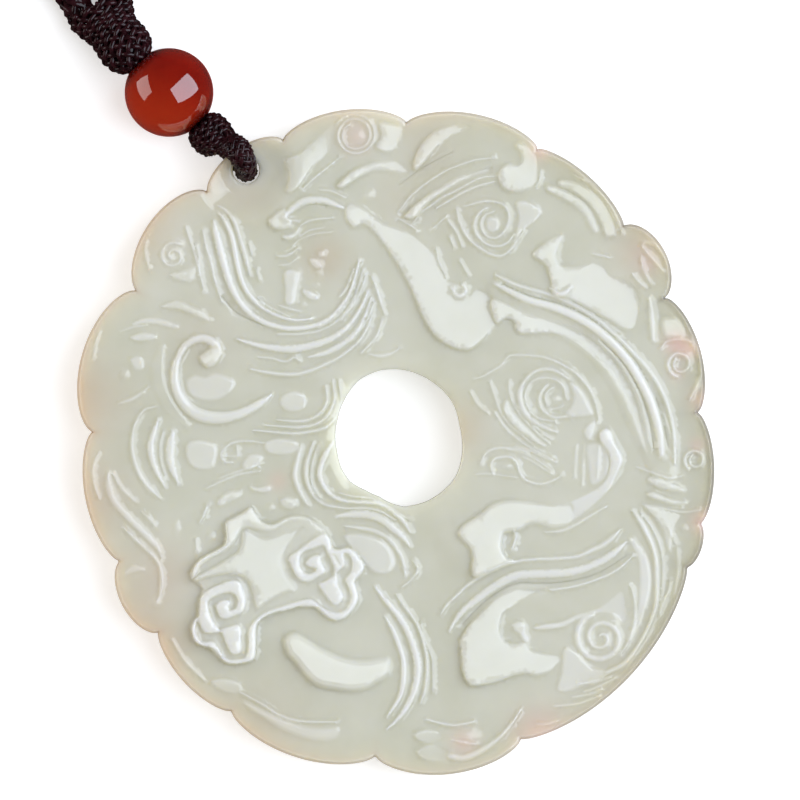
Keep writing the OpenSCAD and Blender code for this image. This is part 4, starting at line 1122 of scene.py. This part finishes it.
def ring(middle, grow, count):
    """A ring of places outside a hole's edge, by some px."""
    a = np.arange(count) * tau / count
    way = np.stack([np.cos(a), -np.sin(a)], 1)
    reach = CORD_HOLE_R if middle is CORD_HOLE else hole_edge(middle + way)
    return middle + way * (np.broadcast_to(reach, count) + grow)[:, None]


def rim_ring(depth, count):
    """A ring of places at a depth in px inside the outline."""
    angle = np.arange(count) * 360 / count
    return outline_points(angle, 1 - depth / HALF_SIZE.mean())


def stitched(line, offsets, step):
    """Rows of places along a line, at offsets that count in the line's third column."""
    p = line[:, :2]
    run = np.hypot(*np.diff(p, axis=0).T)
    length = np.concatenate([[0], np.cumsum(run)])
    if length[-1] < step:
        return p
    at = np.linspace(0, length[-1], int(length[-1] / step) + 1)
    x, y, w = (np.interp(at, length, line[:, k]) for k in range(3))
    tx, ty = np.gradient(x), np.gradient(y)
    size = np.maximum(np.hypot(tx, ty), 1e-6)
    return np.concatenate([np.stack([x - ty / size * w * k, y + tx / size * w * k], 1) for k in offsets])


def carving_places():
    """Places along the carving's crests, borders and feet, where the mesh needs its points."""
    rows = []
    for kind, _, *rest in CARVING:
        if kind == "mound":
            continue
        line = form_line(kind, rest)
        if kind in FLAT:
            line = closed(line)
            line = np.column_stack([line, np.full(len(line), rest[0])])
            rows.append(stitched(line, BORDER_OFFSETS, BORDER_STEP))
        else:
            wide = line[:, 2].max() >= WIDE_LINE
            rows.append(stitched(line, WIDE_OFFSETS if wide else LINE_OFFSETS, LINE_STEP))
    return np.concatenate(rows)


def thinned(places, cell):
    """Keeps the first place in each cell of a grid, then in each cell of the grid half a cell on."""
    for shift in (0.0, 0.5):
        key = np.floor(places / cell + shift).astype(int)
        _, first = np.unique(key[:, 0] * MOST_CELLS + key[:, 1], return_index=True)
        places = places[np.sort(first)]
    return places


def fill_places(taken, step, room):
    """An even field of places, apart from those within some room of the places taken."""
    grid = np.zeros((GRID, GRID), bool)
    reach = int(room)
    for dx in range(-reach, reach + 1):
        for dy in range(-reach, reach + 1):
            if dx * dx + dy * dy <= room * room:
                at = np.clip((taken + (dx, dy)).astype(int), 0, GRID - 1)
                grid[at[:, 1], at[:, 0]] = True
    across = np.arange(*FIELD_X, step)
    down = np.arange(*FIELD_Y, step * ROW_SHARE)
    field = np.concatenate([np.column_stack([across + (i % 2) * step / 2, np.full(len(across), y)])
                            for i, y in enumerate(down)])
    at = field.astype(int)
    return field[~grid[at[:, 1], at[:, 0]]]


def within_rim(q, rim, room=0.0):
    """Whether places lie inside the rim's loop of places, and some px from it."""
    near = outline_share(q) > NEAR_RIM
    good = ~near
    good[near] = inside(q[near], rim) & (nearest(q[near], closed(rim))[0] > room)
    return good


def sheet_mesh(details, rim_depths, height, step, room, cell):
    """One side of the stone: places joined by triangles inside the outline and outside the holes."""
    rim = rim_ring(0, RIM_STEPS)
    loops = [rim, ring(AXIS, 0, HOLE_STEPS), ring(CORD_HOLE, 0, CORD_HOLE_STEPS)]
    rings = [rim_ring(depth, RIM_STEPS if depth < DEEP_RING else RIM_STEPS // 2) for depth in rim_depths]
    hole_rings = [ring(middle, grow, steps) for grow in HOLE_RINGS
                  for middle, steps in ((AXIS, HOLE_STEPS), (CORD_HOLE, CORD_HOLE_STEPS))]
    details = details[outline_share(details) < 1 - DETAIL_END / HALF_SIZE.mean()]
    extra = np.concatenate(rings + [thinned(np.concatenate(hole_rings + [details]), cell)])
    extra = np.concatenate([extra, fill_places(extra, step, room)])
    free = within_rim(extra, rim, RIM_ROOM) & (np.minimum(*from_holes(extra)) > HOLE_ROOM)
    places = np.concatenate(loops + [extra[free]])
    edges, start = [], 0
    for loop in loops:
        n = len(loop)
        edges += [(start + i, start + (i + 1) % n) for i in range(n)]
        start += n
    joined = delaunay_2d_cdt([Vector(p) for p in places.tolist()], edges, [], 0, SAME_PLACE, False)
    q = np.array([tuple(v) for v in joined[0]])
    faces = np.array(joined[2])
    middle = q[faces].mean(1)
    return q, height(q), faces[within_rim(middle, rim) & (np.minimum(*from_holes(middle)) > 0)]


def spots(q, table):
    """Strength of a table's spots at each place, from 0 to 1."""
    total = np.zeros(len(q))
    for x, y, reach, strength in table:
        total += strength * np.exp(-((q - (x, y)) ** 2).sum(1) / reach ** 2)
    return np.clip(total, 0, 1)


def stone_tint(q, carved):
    """Colour shares at each place: warmer at the rim, pink spots, and painted light: painted highlight on
    the carving's crests, painted shade in its cuts and at the rim.
    """
    inward = 1 - outline_share(q)
    rim = np.clip((RIM_TINT_W - inward) / RIM_TINT_W, 0, 1)
    lip = np.clip(1 - inward / (LIP_TINT_W * LIP_SHARE), 0, 1)
    lit = np.clip(1 - inward / LIT_RIM, 0, 1) ** 0.7
    way = (q - AXIS) / np.hypot(*(q - AXIS).T)[:, None]
    # Painted shade: the rim and the lit edge darker, most on the right-hand side, and the whole edge a
    # little darker
    shade = (RIM_SHADE * rim + LIT_SHADE * lit) * np.clip(way @ SHADED_WAY, 0, 1) + EDGE_SHADE * lit
    warmth = (RIM_WARMTH * rim ** 2 + LIT_WARMTH * lit) * (EVEN_WARMTH - way @ COOLER_WAY)
    warm = np.clip(warmth + spots(q, WARM_SPOTS), 0, 1)
    # Painted highlight and shade of the carving, less at the rim, minus the rim's painted shade
    painted_light = (carve(q)[1] if carved else np.zeros(len(q))) * (1 - rim / 2) - shade
    return np.column_stack([warm, spots(q, PINK_SPOTS), np.clip(0.5 + 0.5 * painted_light, 0, 1), lip])


def stone():
    """The carved stone: a carved sheet and a back sheet, sewn at the rim and bridged at the holes."""
    front = sheet_mesh(carving_places(), FACE_RINGS, face_height, *FACE_FIELD)
    seat_end = to_drawing(-sin(HANGER_LEAN) * SEAT_WAY, CORD_HOLE_Y + cos(HANGER_LEAN) * SEAT_WAY)
    seat_line = np.array([(*CORD_HOLE, CORD_HOLE_R), (*seat_end, CORD_HOLE_R)])
    back = sheet_mesh(stitched(seat_line, SEAT_OFFSETS, SEAT_STEP), BACK_RINGS, back_height, *BACK_FIELD)
    bm = bmesh.new()
    tint = bm.verts.layers.float_color.new("tint")
    for carved, (q, z, faces) in ((True, front), (False, back)):
        x, y = to_part(q[:, 0], q[:, 1])
        verts = [bm.verts.new(v) for v in (np.stack([x, y, z], 1) * MM).tolist()]
        for vert, colour in zip(verts, stone_tint(q, carved).tolist()):
            vert[tint] = colour
        for face in faces.tolist():
            bm.faces.new([verts[i] for i in face])
    open_edges = [e for e in bm.edges if e.is_boundary]
    middle, small = Vector((0, 0)), Vector((0, CORD_HOLE_Y * MM))
    rim = set()
    for centre, radius in ((middle, HOLE_EDGE[:, 1].max()), (small, CORD_HOLE_R)):
        wall = [e for e in open_edges
                if all((v.co.xy - centre).length < (radius + EDGE_ROOM) * PX * MM for v in e.verts)]
        rim.update(wall)
        bmesh.ops.bridge_loops(bm, edges=wall)
    sewn = dict.fromkeys(v for e in open_edges if e not in rim for v in e.verts)
    bmesh.ops.remove_doubles(bm, verts=list(sewn), dist=SEAM * MM)
    bmesh.ops.recalc_face_normals(bm, faces=bm.faces)
    return finished(bm, "carved_stone", jade_finish(), "jade_disc")


# Sizes of the bead, the cord and its knots in mm, as in the solid model
BEAD_REACH, BEAD_D, BEAD_BORE_D = 9.85, 8.0, 2.3
BEAD_Z = BEAD_D / 2
STRAND_D, SMALL_KNOT_W, BIG_KNOT_W, BIG_KNOT_L = 1.8, 4.1, 5.2, 5.4
CORD_D, CLOSING_D, CLOSING_L = 3.2, 6.4, 13.0
GAP = 0.12
# Widths of the knots' mouths at the bead, as shares of the knots' widths
SMALL_MOUTH, BIG_MOUTH = 0.6, 0.56
# Way from the rim to the small knots in mm, their height as a share of the bead's middle, and
# the height of the thick knot's end as a share of CORD_D
RIM_CLEAR, KNOT_DIP, KNOT_END_RISE = 1.5, 0.9, 0.75
# The loop's size as it is laid, and how far its middle lies to the right of the thick knot's end
LOOP_W, LOOP_L, LOOP_SHIFT = 172.0, 225.0, 2.0
# Columns: x in per cent of half of LOOP_W, and y in per cent of LOOP_L
RIGHT_ROUTE = [
    (3, 2.4), (10, 7), (21, 13), (38, 20), (58, 29), (78, 39), (93, 50),
    (100, 63), (95, 76), (79, 87), (53, 95), (26, 99),
]
LEFT_ROUTE = [
    (-5, 2.4), (-11, 7), (-22, 13), (-38, 20), (-59, 29.5), (-79, 39.5), (-94, 51),
    (-100, 64), (-94, 77), (-78, 88), (-52, 95.5), (-25, 99.3),
]
# The small knots' sections. Columns: share of their length, and width as a share of SMALL_KNOT_W
SMALL_SECTIONS = [
    (0, 0.72), (0.1, 0.84), (0.25, 0.96), (0.42, 1), (0.58, 1), (0.75, 0.98),
    (0.88, 0.86), (0.95, 0.74), (1, SMALL_MOUTH),
]
# The big knot's sections. Columns: share of its length, width and height as shares of BIG_KNOT_W
BIG_SECTIONS = [
    (0, BIG_MOUTH, BIG_MOUTH), (0.08, 0.78, 0.76), (0.2, 0.94, 0.9), (0.36, 1, 0.94), (0.52, 0.96, 0.9),
    (0.68, 0.94, 0.82), (0.84, 1.08, 0.74), (1, 1.2, 0.66),
]
# The rim strand's way round the bridge, in shares of STRAND_D.
# Columns: reach from the rim's edge or the cord hole's axis, and height from the upper or lower line
OVER_RIM = [(0.28, -0.28), (-0.11, -0.06), (-0.56, 0)]
INTO_HOLE = [(0.2, -0.25), (0, -0.72)]
OUT_OF_HOLE = [(0, 0.53), (0.2, 0.14)]
UNDER_RIM = [(-0.6, 0), (0.08, 0), (0.36, 0.14)]
# The strand over the rim, by its reach from the cord hole: its width and its shift to the side, in mm
OVER_REACH = (0, 0.9, 1.8, 2.6, 3.6)
OVER_WIDTH = (2.3, 2.5, 2.7, 2.8, 2.6)
OVER_SHIFT = (0.3, 0.6, 0.8, 0.6, 0.2)
# How far a wide strand is thicker too, as a share, and its swelling in the upper half of the hole
OVER_THICK, PLUG_MORE = 0.35, 0.46
# The strand is over the rim from this height on, in mm, and changes its width over this way
OVER_FROM_Z, CHANGE_WAY = 4.4, 0.8
# The small knots start this much nearer the stone than the solid, and this far to the side
SMALL_SOONER, SMALL_SHIFT = 0.7, 0.5
# Steps along a knot, and those that the thick knot goes on over the ends of the two runs
KNOT_STEPS, KNOT_OVERRUN = 60, 12
# Braids in mm. Columns: threads each way, thread radius, depth of a crossing and a thread's pitch
RUN_BRAID = (6, 0.32, 0.22, 8.0)
BIG_BRAID = (11, 0.24, 0.14, 8.5)
SMALL_BRAID = (9, 0.22, 0.13, 5.6)
STRAND_BRAID = (8, 0.2, 0.12, 3.6)
BEAD_TWIST = (3, 0.5, 0.0, 4.0)
# Least distance in mm of a thread's middle from the middle of its braid
LEAST_REACH = 0.1
# Room between the threads in the bead and its bore in mm, and the steps along them
BORE_ROOM, BORE_STEPS = 0.15, 40
# Radius of the core in a run, and how far under the outside it ends in the knots and the strand
RUN_CORE_R, BIG_CORE_IN, SMALL_CORE_IN, STRAND_CORE_IN, CLOSING_CORE_IN = 1.15, 0.45, 0.42, 0.3, 0.3
# The closing knot's windings: turns, thread radius, turns of a shoulder and its width at the ends
CLOSING_TURNS, CLOSING_THREAD, SHOULDER_TURNS, SHOULDER_SHARE = 13, 0.5, 1.4, 0.72
# Steps in a turn, and those that the core takes at once
TURN_STEPS, CORE_STEP = 20, 10


def bead_seat(mouth_d):
    return sqrt((BEAD_D / 2) ** 2 - (mouth_d / 2) ** 2) + GAP


SMALL_END = BEAD_REACH - bead_seat(SMALL_MOUTH * SMALL_KNOT_W)
SMALL_START = CORD_HOLE_R * PX + BRIDGE_W + RIM_CLEAR
SMALL_Z = KNOT_DIP * BEAD_Z
BIG_START = BEAD_REACH + bead_seat(BIG_MOUTH * BIG_KNOT_W)


def lean_way(lean):
    return np.array([-sin(lean), cos(lean), 0.0])


def on_hanger(reach, z):
    """A place on the hanger's line, at a distance from the cord hole."""
    return np.array([0.0, CORD_HOLE_Y, z]) + reach * lean_way(HANGER_LEAN)


KNOT_END = on_hanger(BIG_START, KNOT_END_RISE * CORD_D) + BIG_KNOT_L * lean_way(HANGER_LEAN / 2)
STRAIGHT = lean_way(0)
HANGER_SIDE = np.array([cos(HANGER_LEAN), sin(HANGER_LEAN), 0.0])
# Steps along the strand and along a run, in mm
STRAND_STEP, RUN_STEP = 0.25, 0.8
REST_Z = CORD_D / 2
LOOP_X, LOOP_Y = KNOT_END[0] + LOOP_SHIFT, KNOT_END[1]
CLOSING_AT = np.array([LOOP_X, LOOP_Y + LOOP_L, CLOSING_D / 2])
# How far a run of braid goes in under the closing knot's windings
INTO_CLOSING = 1.2


def frames(way, side=None):
    """Directions across and up along a way, and the length so far."""
    ahead = np.gradient(way, axis=0)
    ahead /= np.linalg.norm(ahead, axis=1)[:, None]
    across = np.cross(ahead, (0, 0, 1)) if side is None else np.tile(side, (len(way), 1))
    across = across / np.linalg.norm(across, axis=1)[:, None]
    run = np.linalg.norm(np.diff(way, axis=0), axis=1)
    return across, np.cross(across, ahead), np.concatenate([[0], np.cumsum(run)])


def braid(way, wide, high, kind, side=None, hands=(1, -1)):
    """Threads that wind both ways round a way and pass over and under each other, and their radius."""
    count, thread, wave, pitch = kind
    across, up, length = frames(way, side)
    lines = []
    for hand in hands:
        for i in range(count):
            angle = hand * tau * length / pitch + tau * i / count
            swell = wave * (hand * np.cos(count * angle) - 1) if len(hands) > 1 else 0.0
            half_w = np.maximum(wide / 2 - thread + swell, LEAST_REACH)
            half_h = np.maximum(high / 2 - thread + swell, LEAST_REACH)
            lines.append(way + across * (half_w * np.cos(angle))[:, None]
                         + up * (half_h * np.sin(angle))[:, None])
    return lines, thread


def evenly(way, step):
    """The same way in even steps."""
    run = np.concatenate([[0], np.cumsum(np.linalg.norm(np.diff(way, axis=0), axis=1))])
    at = np.linspace(0, run[-1], int(run[-1] / step) + 1)
    return np.stack([np.interp(at, run, way[:, k]) for k in range(3)], 1)


def threads(name, groups, material, node, sides=1):
    """A piece of round threads. A group is a list of lines in mm and their radius or radii."""
    curve = bpy.data.curves.new(name, "CURVE")
    curve.dimensions = "3D"
    curve.bevel_depth = MM
    curve.bevel_resolution = sides
    curve.use_fill_caps = True
    for lines, radius in groups:
        for line in lines:
            spline = curve.splines.new("POLY")
            spline.points.add(len(line) - 1)
            spline.points.foreach_set("co", np.column_stack([line * MM, np.ones(len(line))]).ravel())
            spline.points.foreach_set("radius", np.broadcast_to(radius, len(line)).astype(float))
    holder = bpy.data.objects.new(name, curve)
    bpy.context.collection.objects.link(holder)
    ready = holder.evaluated_get(bpy.context.evaluated_depsgraph_get())
    bm = bmesh.new()
    bm.from_mesh(ready.to_mesh())
    bpy.data.objects.remove(holder)
    bmesh.ops.remove_doubles(bm, verts=bm.verts, dist=WELD)
    bmesh.ops.recalc_face_normals(bm, faces=bm.faces)
    return finished(bm, name, material, node)


def run_way(points, hand):
    """One run of the neck cord, from the thick knot to the closing knot."""
    beside = np.array([hand * (CORD_D / 2 + GAP / 2), 0, 0])
    start = np.array([KNOT_END[0], KNOT_END[1] + GAP, REST_Z]) + beside
    stop = CLOSING_AT + np.array([hand * (CLOSING_L / 2 + GAP), 0, 0])
    route = [start, start + CORD_D / 2 * STRAIGHT]
    route += [np.array([LOOP_X + x / 200 * LOOP_W, LOOP_Y + y / 100 * LOOP_L, REST_Z]) for x, y in points]
    way = smooth_line(route + [stop], step=RUN_STEP)
    into_knot = stop - np.array([hand * INTO_CLOSING, 0, 0])
    return evenly(np.concatenate([way, [into_knot]]), RUN_STEP)


def neck_cords(material):
    for name, node, points, hand in (("neck_braid_right", "neck_cord_right", RIGHT_ROUTE, 1),
                                     ("neck_braid_left", "neck_cord_left", LEFT_ROUTE, -1)):
        way = run_way(points, hand)
        threads(name, [braid(way, CORD_D, CORD_D, RUN_BRAID), ([way], RUN_CORE_R)], material, node)


def big_knot_way():
    start = on_hanger(BIG_START, BEAD_Z)
    a = start + BIG_KNOT_L / 3 * lean_way(HANGER_LEAN)
    b = KNOT_END - BIG_KNOT_L / 3 * STRAIGHT
    t = np.linspace(0, 1, KNOT_STEPS)[:, None]
    r = 1 - t
    return r ** 3 * start + 3 * r * r * t * a + 3 * r * t * t * b + t ** 3 * KNOT_END


def upper_knot(material):
    way = big_knot_way()
    step = way[-1] - way[-2]
    way = np.concatenate([way, [way[-1] + step * i for i in range(1, KNOT_OVERRUN + 1)]])
    share, wide, high = np.array(BIG_SECTIONS).T
    t = np.linspace(0, len(way) / KNOT_STEPS, len(way))
    wide, high = np.interp(t, share, wide) * BIG_KNOT_W, np.interp(t, share, high) * BIG_KNOT_W
    core = np.minimum(wide, high) / 2 - BIG_CORE_IN
    threads("thick_knot", [braid(way, wide, high, BIG_BRAID), ([way], core)], material, "upper_knot")


def lower_knots(material):
    reach = np.linspace(SMALL_START - SMALL_SOONER, SMALL_END, KNOT_STEPS)
    t = np.linspace(0, 1, KNOT_STEPS)
    way = np.array([on_hanger(s, SMALL_Z + (BEAD_Z - SMALL_Z) * k) for s, k in zip(reach, t)])
    way -= HANGER_SIDE * np.interp(t, (0, 0.3), (SMALL_SHIFT, 0))[:, None]
    share, wide = np.array(SMALL_SECTIONS).T
    wide = np.interp(t, share, wide) * SMALL_KNOT_W
    core = wide / 2 - SMALL_CORE_IN
    threads("small_knots", [braid(way, wide, wide, SMALL_BRAID), ([way], core)], material, "lower_knots")


def rim_strand(material):
    r = STRAND_D / 2
    under_z, over_z = SEAT_H - r - GAP, EAR_Z + r + GAP
    rim_y, leg = CORD_HOLE_R * PX + BRIDGE_W, r + GAP / 2
    rows = [(SMALL_START - GAP, SMALL_Z + leg)]
    for y, z, bends in ((rim_y, over_z, OVER_RIM), (0, over_z, INTO_HOLE),
                        (0, (over_z + under_z) / 2, [(0, 0)]),
                        (0, under_z, OUT_OF_HOLE), (rim_y, under_z, UNDER_RIM)):
        rows += [(y + a * STRAND_D, z + b * STRAND_D) for a, b in bends]
    rows += [(SMALL_START - GAP, SMALL_Z - leg)]
    way = evenly(smooth_line([on_hanger(a, b) for a, b in rows], step=STRAND_STEP), STRAND_STEP)
    out = (way - on_hanger(0, 0)) @ lean_way(HANGER_LEAN)
    over = soft_step((way[:, 2] - OVER_FROM_Z) / CHANGE_WAY)
    way = way + HANGER_SIDE * (over * np.interp(out, OVER_REACH, OVER_SHIFT))[:, None]
    wide = STRAND_D + over * (np.interp(out, OVER_REACH, OVER_WIDTH) - STRAND_D)
    high = STRAND_D + over * OVER_THICK * (wide - STRAND_D)
    in_hole = soft_step(way[:, 2] - SEAT_H) * soft_step((STRAND_D - np.abs(out)) / CHANGE_WAY)
    plug = STRAND_D + PLUG_MORE * in_hole
    wide, high = np.maximum(wide, plug), np.maximum(high, plug)
    lines = braid(way, wide, high, STRAND_BRAID, side=HANGER_SIDE)
    threads("rim_strand", [lines, ([way], high / 2 - STRAND_CORE_IN)], material, "rim_loop")


def closing_knot(material):
    t = np.linspace(0, 1, CLOSING_TURNS * TURN_STEPS)
    shoulder = np.clip(np.minimum(t, 1 - t) * CLOSING_TURNS / SHOULDER_TURNS, 0, 1) ** 0.5
    r = (CLOSING_D / 2 - CLOSING_THREAD) * (SHOULDER_SHARE + (1 - SHOULDER_SHARE) * shoulder)
    x = (t - 0.5) * (CLOSING_L - 2 * CLOSING_THREAD)
    a = tau * CLOSING_TURNS * t
    windings = CLOSING_AT + np.stack([x, r * np.cos(a), r * np.sin(a)], 1)
    core = (CLOSING_AT + np.stack([x, 0 * x, 0 * x], 1))[::CORE_STEP]
    groups = [([windings], CLOSING_THREAD), ([core], (r - CLOSING_CORE_IN)[::CORE_STEP])]
    threads("wrapped_closing", groups, material, "closing_knot", sides=3)


# The bead's steps round it and from end to end, and the soft edge of its bore in mm and radians
BALL_STEPS, BALL_ROWS, BORE_EDGE, BORE_EDGE_TURN = 96, 49, 0.12, 0.03
# Way from the bead's darker side to the side with a painted glow, where light would shine through it
BEAD_GLOW = Vector((-0.80, -0.55, -0.1))
# In radii of the bead: where its ends turn dark with painted shade, how far from its middle height the
# painted light edge reaches, and the widths that both change over; and the painted glow's level and its
# change over a radius
DARK_FROM, DARK_BLEND, PALE_TO, PALE_BLEND = 0.68, 0.3, 0.3, 0.25
GLOW_LEVEL, GLOW_CHANGE = 0.45, 0.6


def bead():
    """The drilled bead. Its colour has painted shade at both ends, a painted glow on one side and a painted
    light edge round it.
    """
    bm = bmesh.new()
    bore_r, ball_r = BEAD_BORE_D / 2, BEAD_D / 2
    top = sqrt(ball_r ** 2 - bore_r ** 2)
    reach = atan2(top, bore_r) - BORE_EDGE_TURN
    rows = [(ball_r * cos(a), ball_r * sin(a)) for a in np.linspace(-reach, reach, BALL_ROWS)]
    rows = [(bore_r, -top + BORE_EDGE), *rows, (bore_r, top - BORE_EDGE)]
    verts = [bm.verts.new((x, 0, z)) for x, z in rows]
    edges = [bm.edges.new((a, b)) for a, b in zip(verts, verts[1:])]
    edges.append(bm.edges.new((verts[-1], verts[0])))
    bmesh.ops.spin(bm, geom=verts + edges, axis=(0, 0, 1), cent=(0, 0, 0), steps=BALL_STEPS, angle=tau,
                   use_merge=True)
    bmesh.ops.remove_doubles(bm, verts=bm.verts, dist=WELD / MM)
    # The spin's faces come in no fixed order
    bm.verts.index_update()
    places = {face: [v.index for v in face.verts] for face in bm.faces}
    bm.faces.sort(key=lambda face: min(places[face]) * len(bm.verts) + max(places[face]))
    bmesh.ops.recalc_face_normals(bm, faces=bm.faces)
    place = Matrix.Translation(Vector(on_hanger(BEAD_REACH, BEAD_Z) * MM))
    place = place @ Matrix.Rotation(HANGER_LEAN, 4, "Z") @ Matrix.Rotation(-pi / 2, 4, "X")
    place = place @ Matrix.Scale(MM, 4)
    # Painted light of the bead's colour: shade at both ends, glow on one side and a lighter edge
    depth = bm.verts.layers.float_color.new("depth")
    for vert in bm.verts:
        way = (place @ vert.co - place.translation) / (ball_r * MM)
        end_shade = soft_step((abs(vert.co.z) / ball_r - DARK_FROM) / DARK_BLEND)
        painted_glow = soft_step(GLOW_LEVEL + GLOW_CHANGE * way.dot(BEAD_GLOW))
        pale = soft_step((PALE_TO - abs(way.z)) / PALE_BLEND)
        vert[depth] = (float(end_shade), float(painted_glow), float(pale), 1.0)
    bmesh.ops.transform(bm, matrix=place, verts=bm.verts)
    return finished(bm, "red_bead", agate_finish(), "agate_bead")


def bead_thread(material):
    way = np.array([on_hanger(s, BEAD_Z) for s in np.linspace(SMALL_END + GAP, BIG_START - GAP, BORE_STEPS)])
    wide = BEAD_BORE_D - 2 * BORE_ROOM
    threads("thread_in_bead", [braid(way, wide, wide, BEAD_TWIST, hands=(1,))], material, "bead_thread")


# The softboxes, seen from the stone: directions of their corners with x to the picture's
# right, y up the picture and z to the camera, distance in metres, brightness and colour
SOFTBOXES = {
    "right_softbox": (
        [(0.045, 0.095, 0.994), (0.63, 0.70, 0.33), (0.988, 0.13, 0.086), (0.409, -0.43, 0.805)],
        2.0, 3.6, (0.80, 0.88, 1.0)),
    "left_softbox": (
        [(-0.61, 0.0, 0.79), (-0.748, 0.658, 0.06), (-0.95, 0.25, 0.04), (-0.94, -0.274, 0.174)],
        2.0, 2.0, (1.0, 0.95, 0.92)),
}


def softbox(name, corners, distance, brightness, colour):
    """A flat rectangular light that fits four corner directions."""
    right = Vector(to_part(AXIS[0] + 1 / PX, AXIS[1]) + (0,))
    up = Vector(to_part(AXIS[0], AXIS[1] - 1 / PX) + (0,))
    aims = [right * x + up * y + Vector((0, 0, z)) for x, y, z in corners]
    middle = sum(aims, Vector()).normalized()
    ends = [aim * (distance / aim.dot(middle)) for aim in aims]
    a = (ends[1] - ends[0]) + (ends[2] - ends[3])
    b = (ends[3] - ends[0]) + (ends[2] - ends[1])
    data = bpy.data.lights.new(name, "AREA")
    data.shape = "RECTANGLE"
    data.size, data.size_y = a.length / 2, b.length / 2
    data.color = colour
    data.energy = brightness * pi * data.size * data.size_y
    x_axis = a.normalized()
    y_axis = middle.cross(x_axis)
    lamp = bpy.data.objects.new(name, data)
    turn = Matrix((x_axis, y_axis, middle)).transposed().to_4x4()
    lamp.matrix_world = Matrix.Translation(sum(ends, Vector()) / 4) @ turn
    lamp.visible_camera = False
    bpy.context.collection.objects.link(lamp)


# Half the floor's width in metres and its depth under the part in mm, the room's light and colour,
# and its light as polished pieces mirror it
FLOOR_HALF, FLOOR_DEPTH = 2.0, 0.02
ROOM_LIGHT, MIRRORED_LIGHT, ROOM_COLOUR = 0.45, 0.05, (1.0, 0.95, 0.88)


def studio():
    """The floor, the room's light and the two softboxes."""
    bm = bmesh.new()
    bmesh.ops.create_grid(bm, x_segments=1, y_segments=1, size=FLOOR_HALF)
    bmesh.ops.translate(bm, verts=bm.verts, vec=(0, 0, -FLOOR_DEPTH * MM))
    floor = finished(bm, "pale_floor", floor_finish())
    floor.visible_glossy = False
    world = bpy.data.worlds.new("studio")
    world.use_nodes = True
    tree = world.node_tree
    tree.nodes["Background"].inputs[0].default_value = (*ROOM_COLOUR, 1)
    path, dim = tree.nodes.new("ShaderNodeLightPath"), tree.nodes.new("ShaderNodeMapRange")
    dim.inputs["To Min"].default_value = ROOM_LIGHT
    dim.inputs["To Max"].default_value = MIRRORED_LIGHT
    tree.links.new(path.outputs["Is Glossy Ray"], dim.inputs["Value"])
    tree.links.new(dim.outputs[0], tree.nodes["Background"].inputs[1])
    bpy.context.scene.world = world
    for name, values in SOFTBOXES.items():
        softbox(name, *values)


cord = cord_finish()
neck_cords(cord)
upper_knot(cord)
lower_knots(cord)
rim_strand(cord)
bead_thread(cord)
closing_knot(cord)
stone()
bead()
studio()
bpy.context.scene.view_settings.view_transform = "Standard"
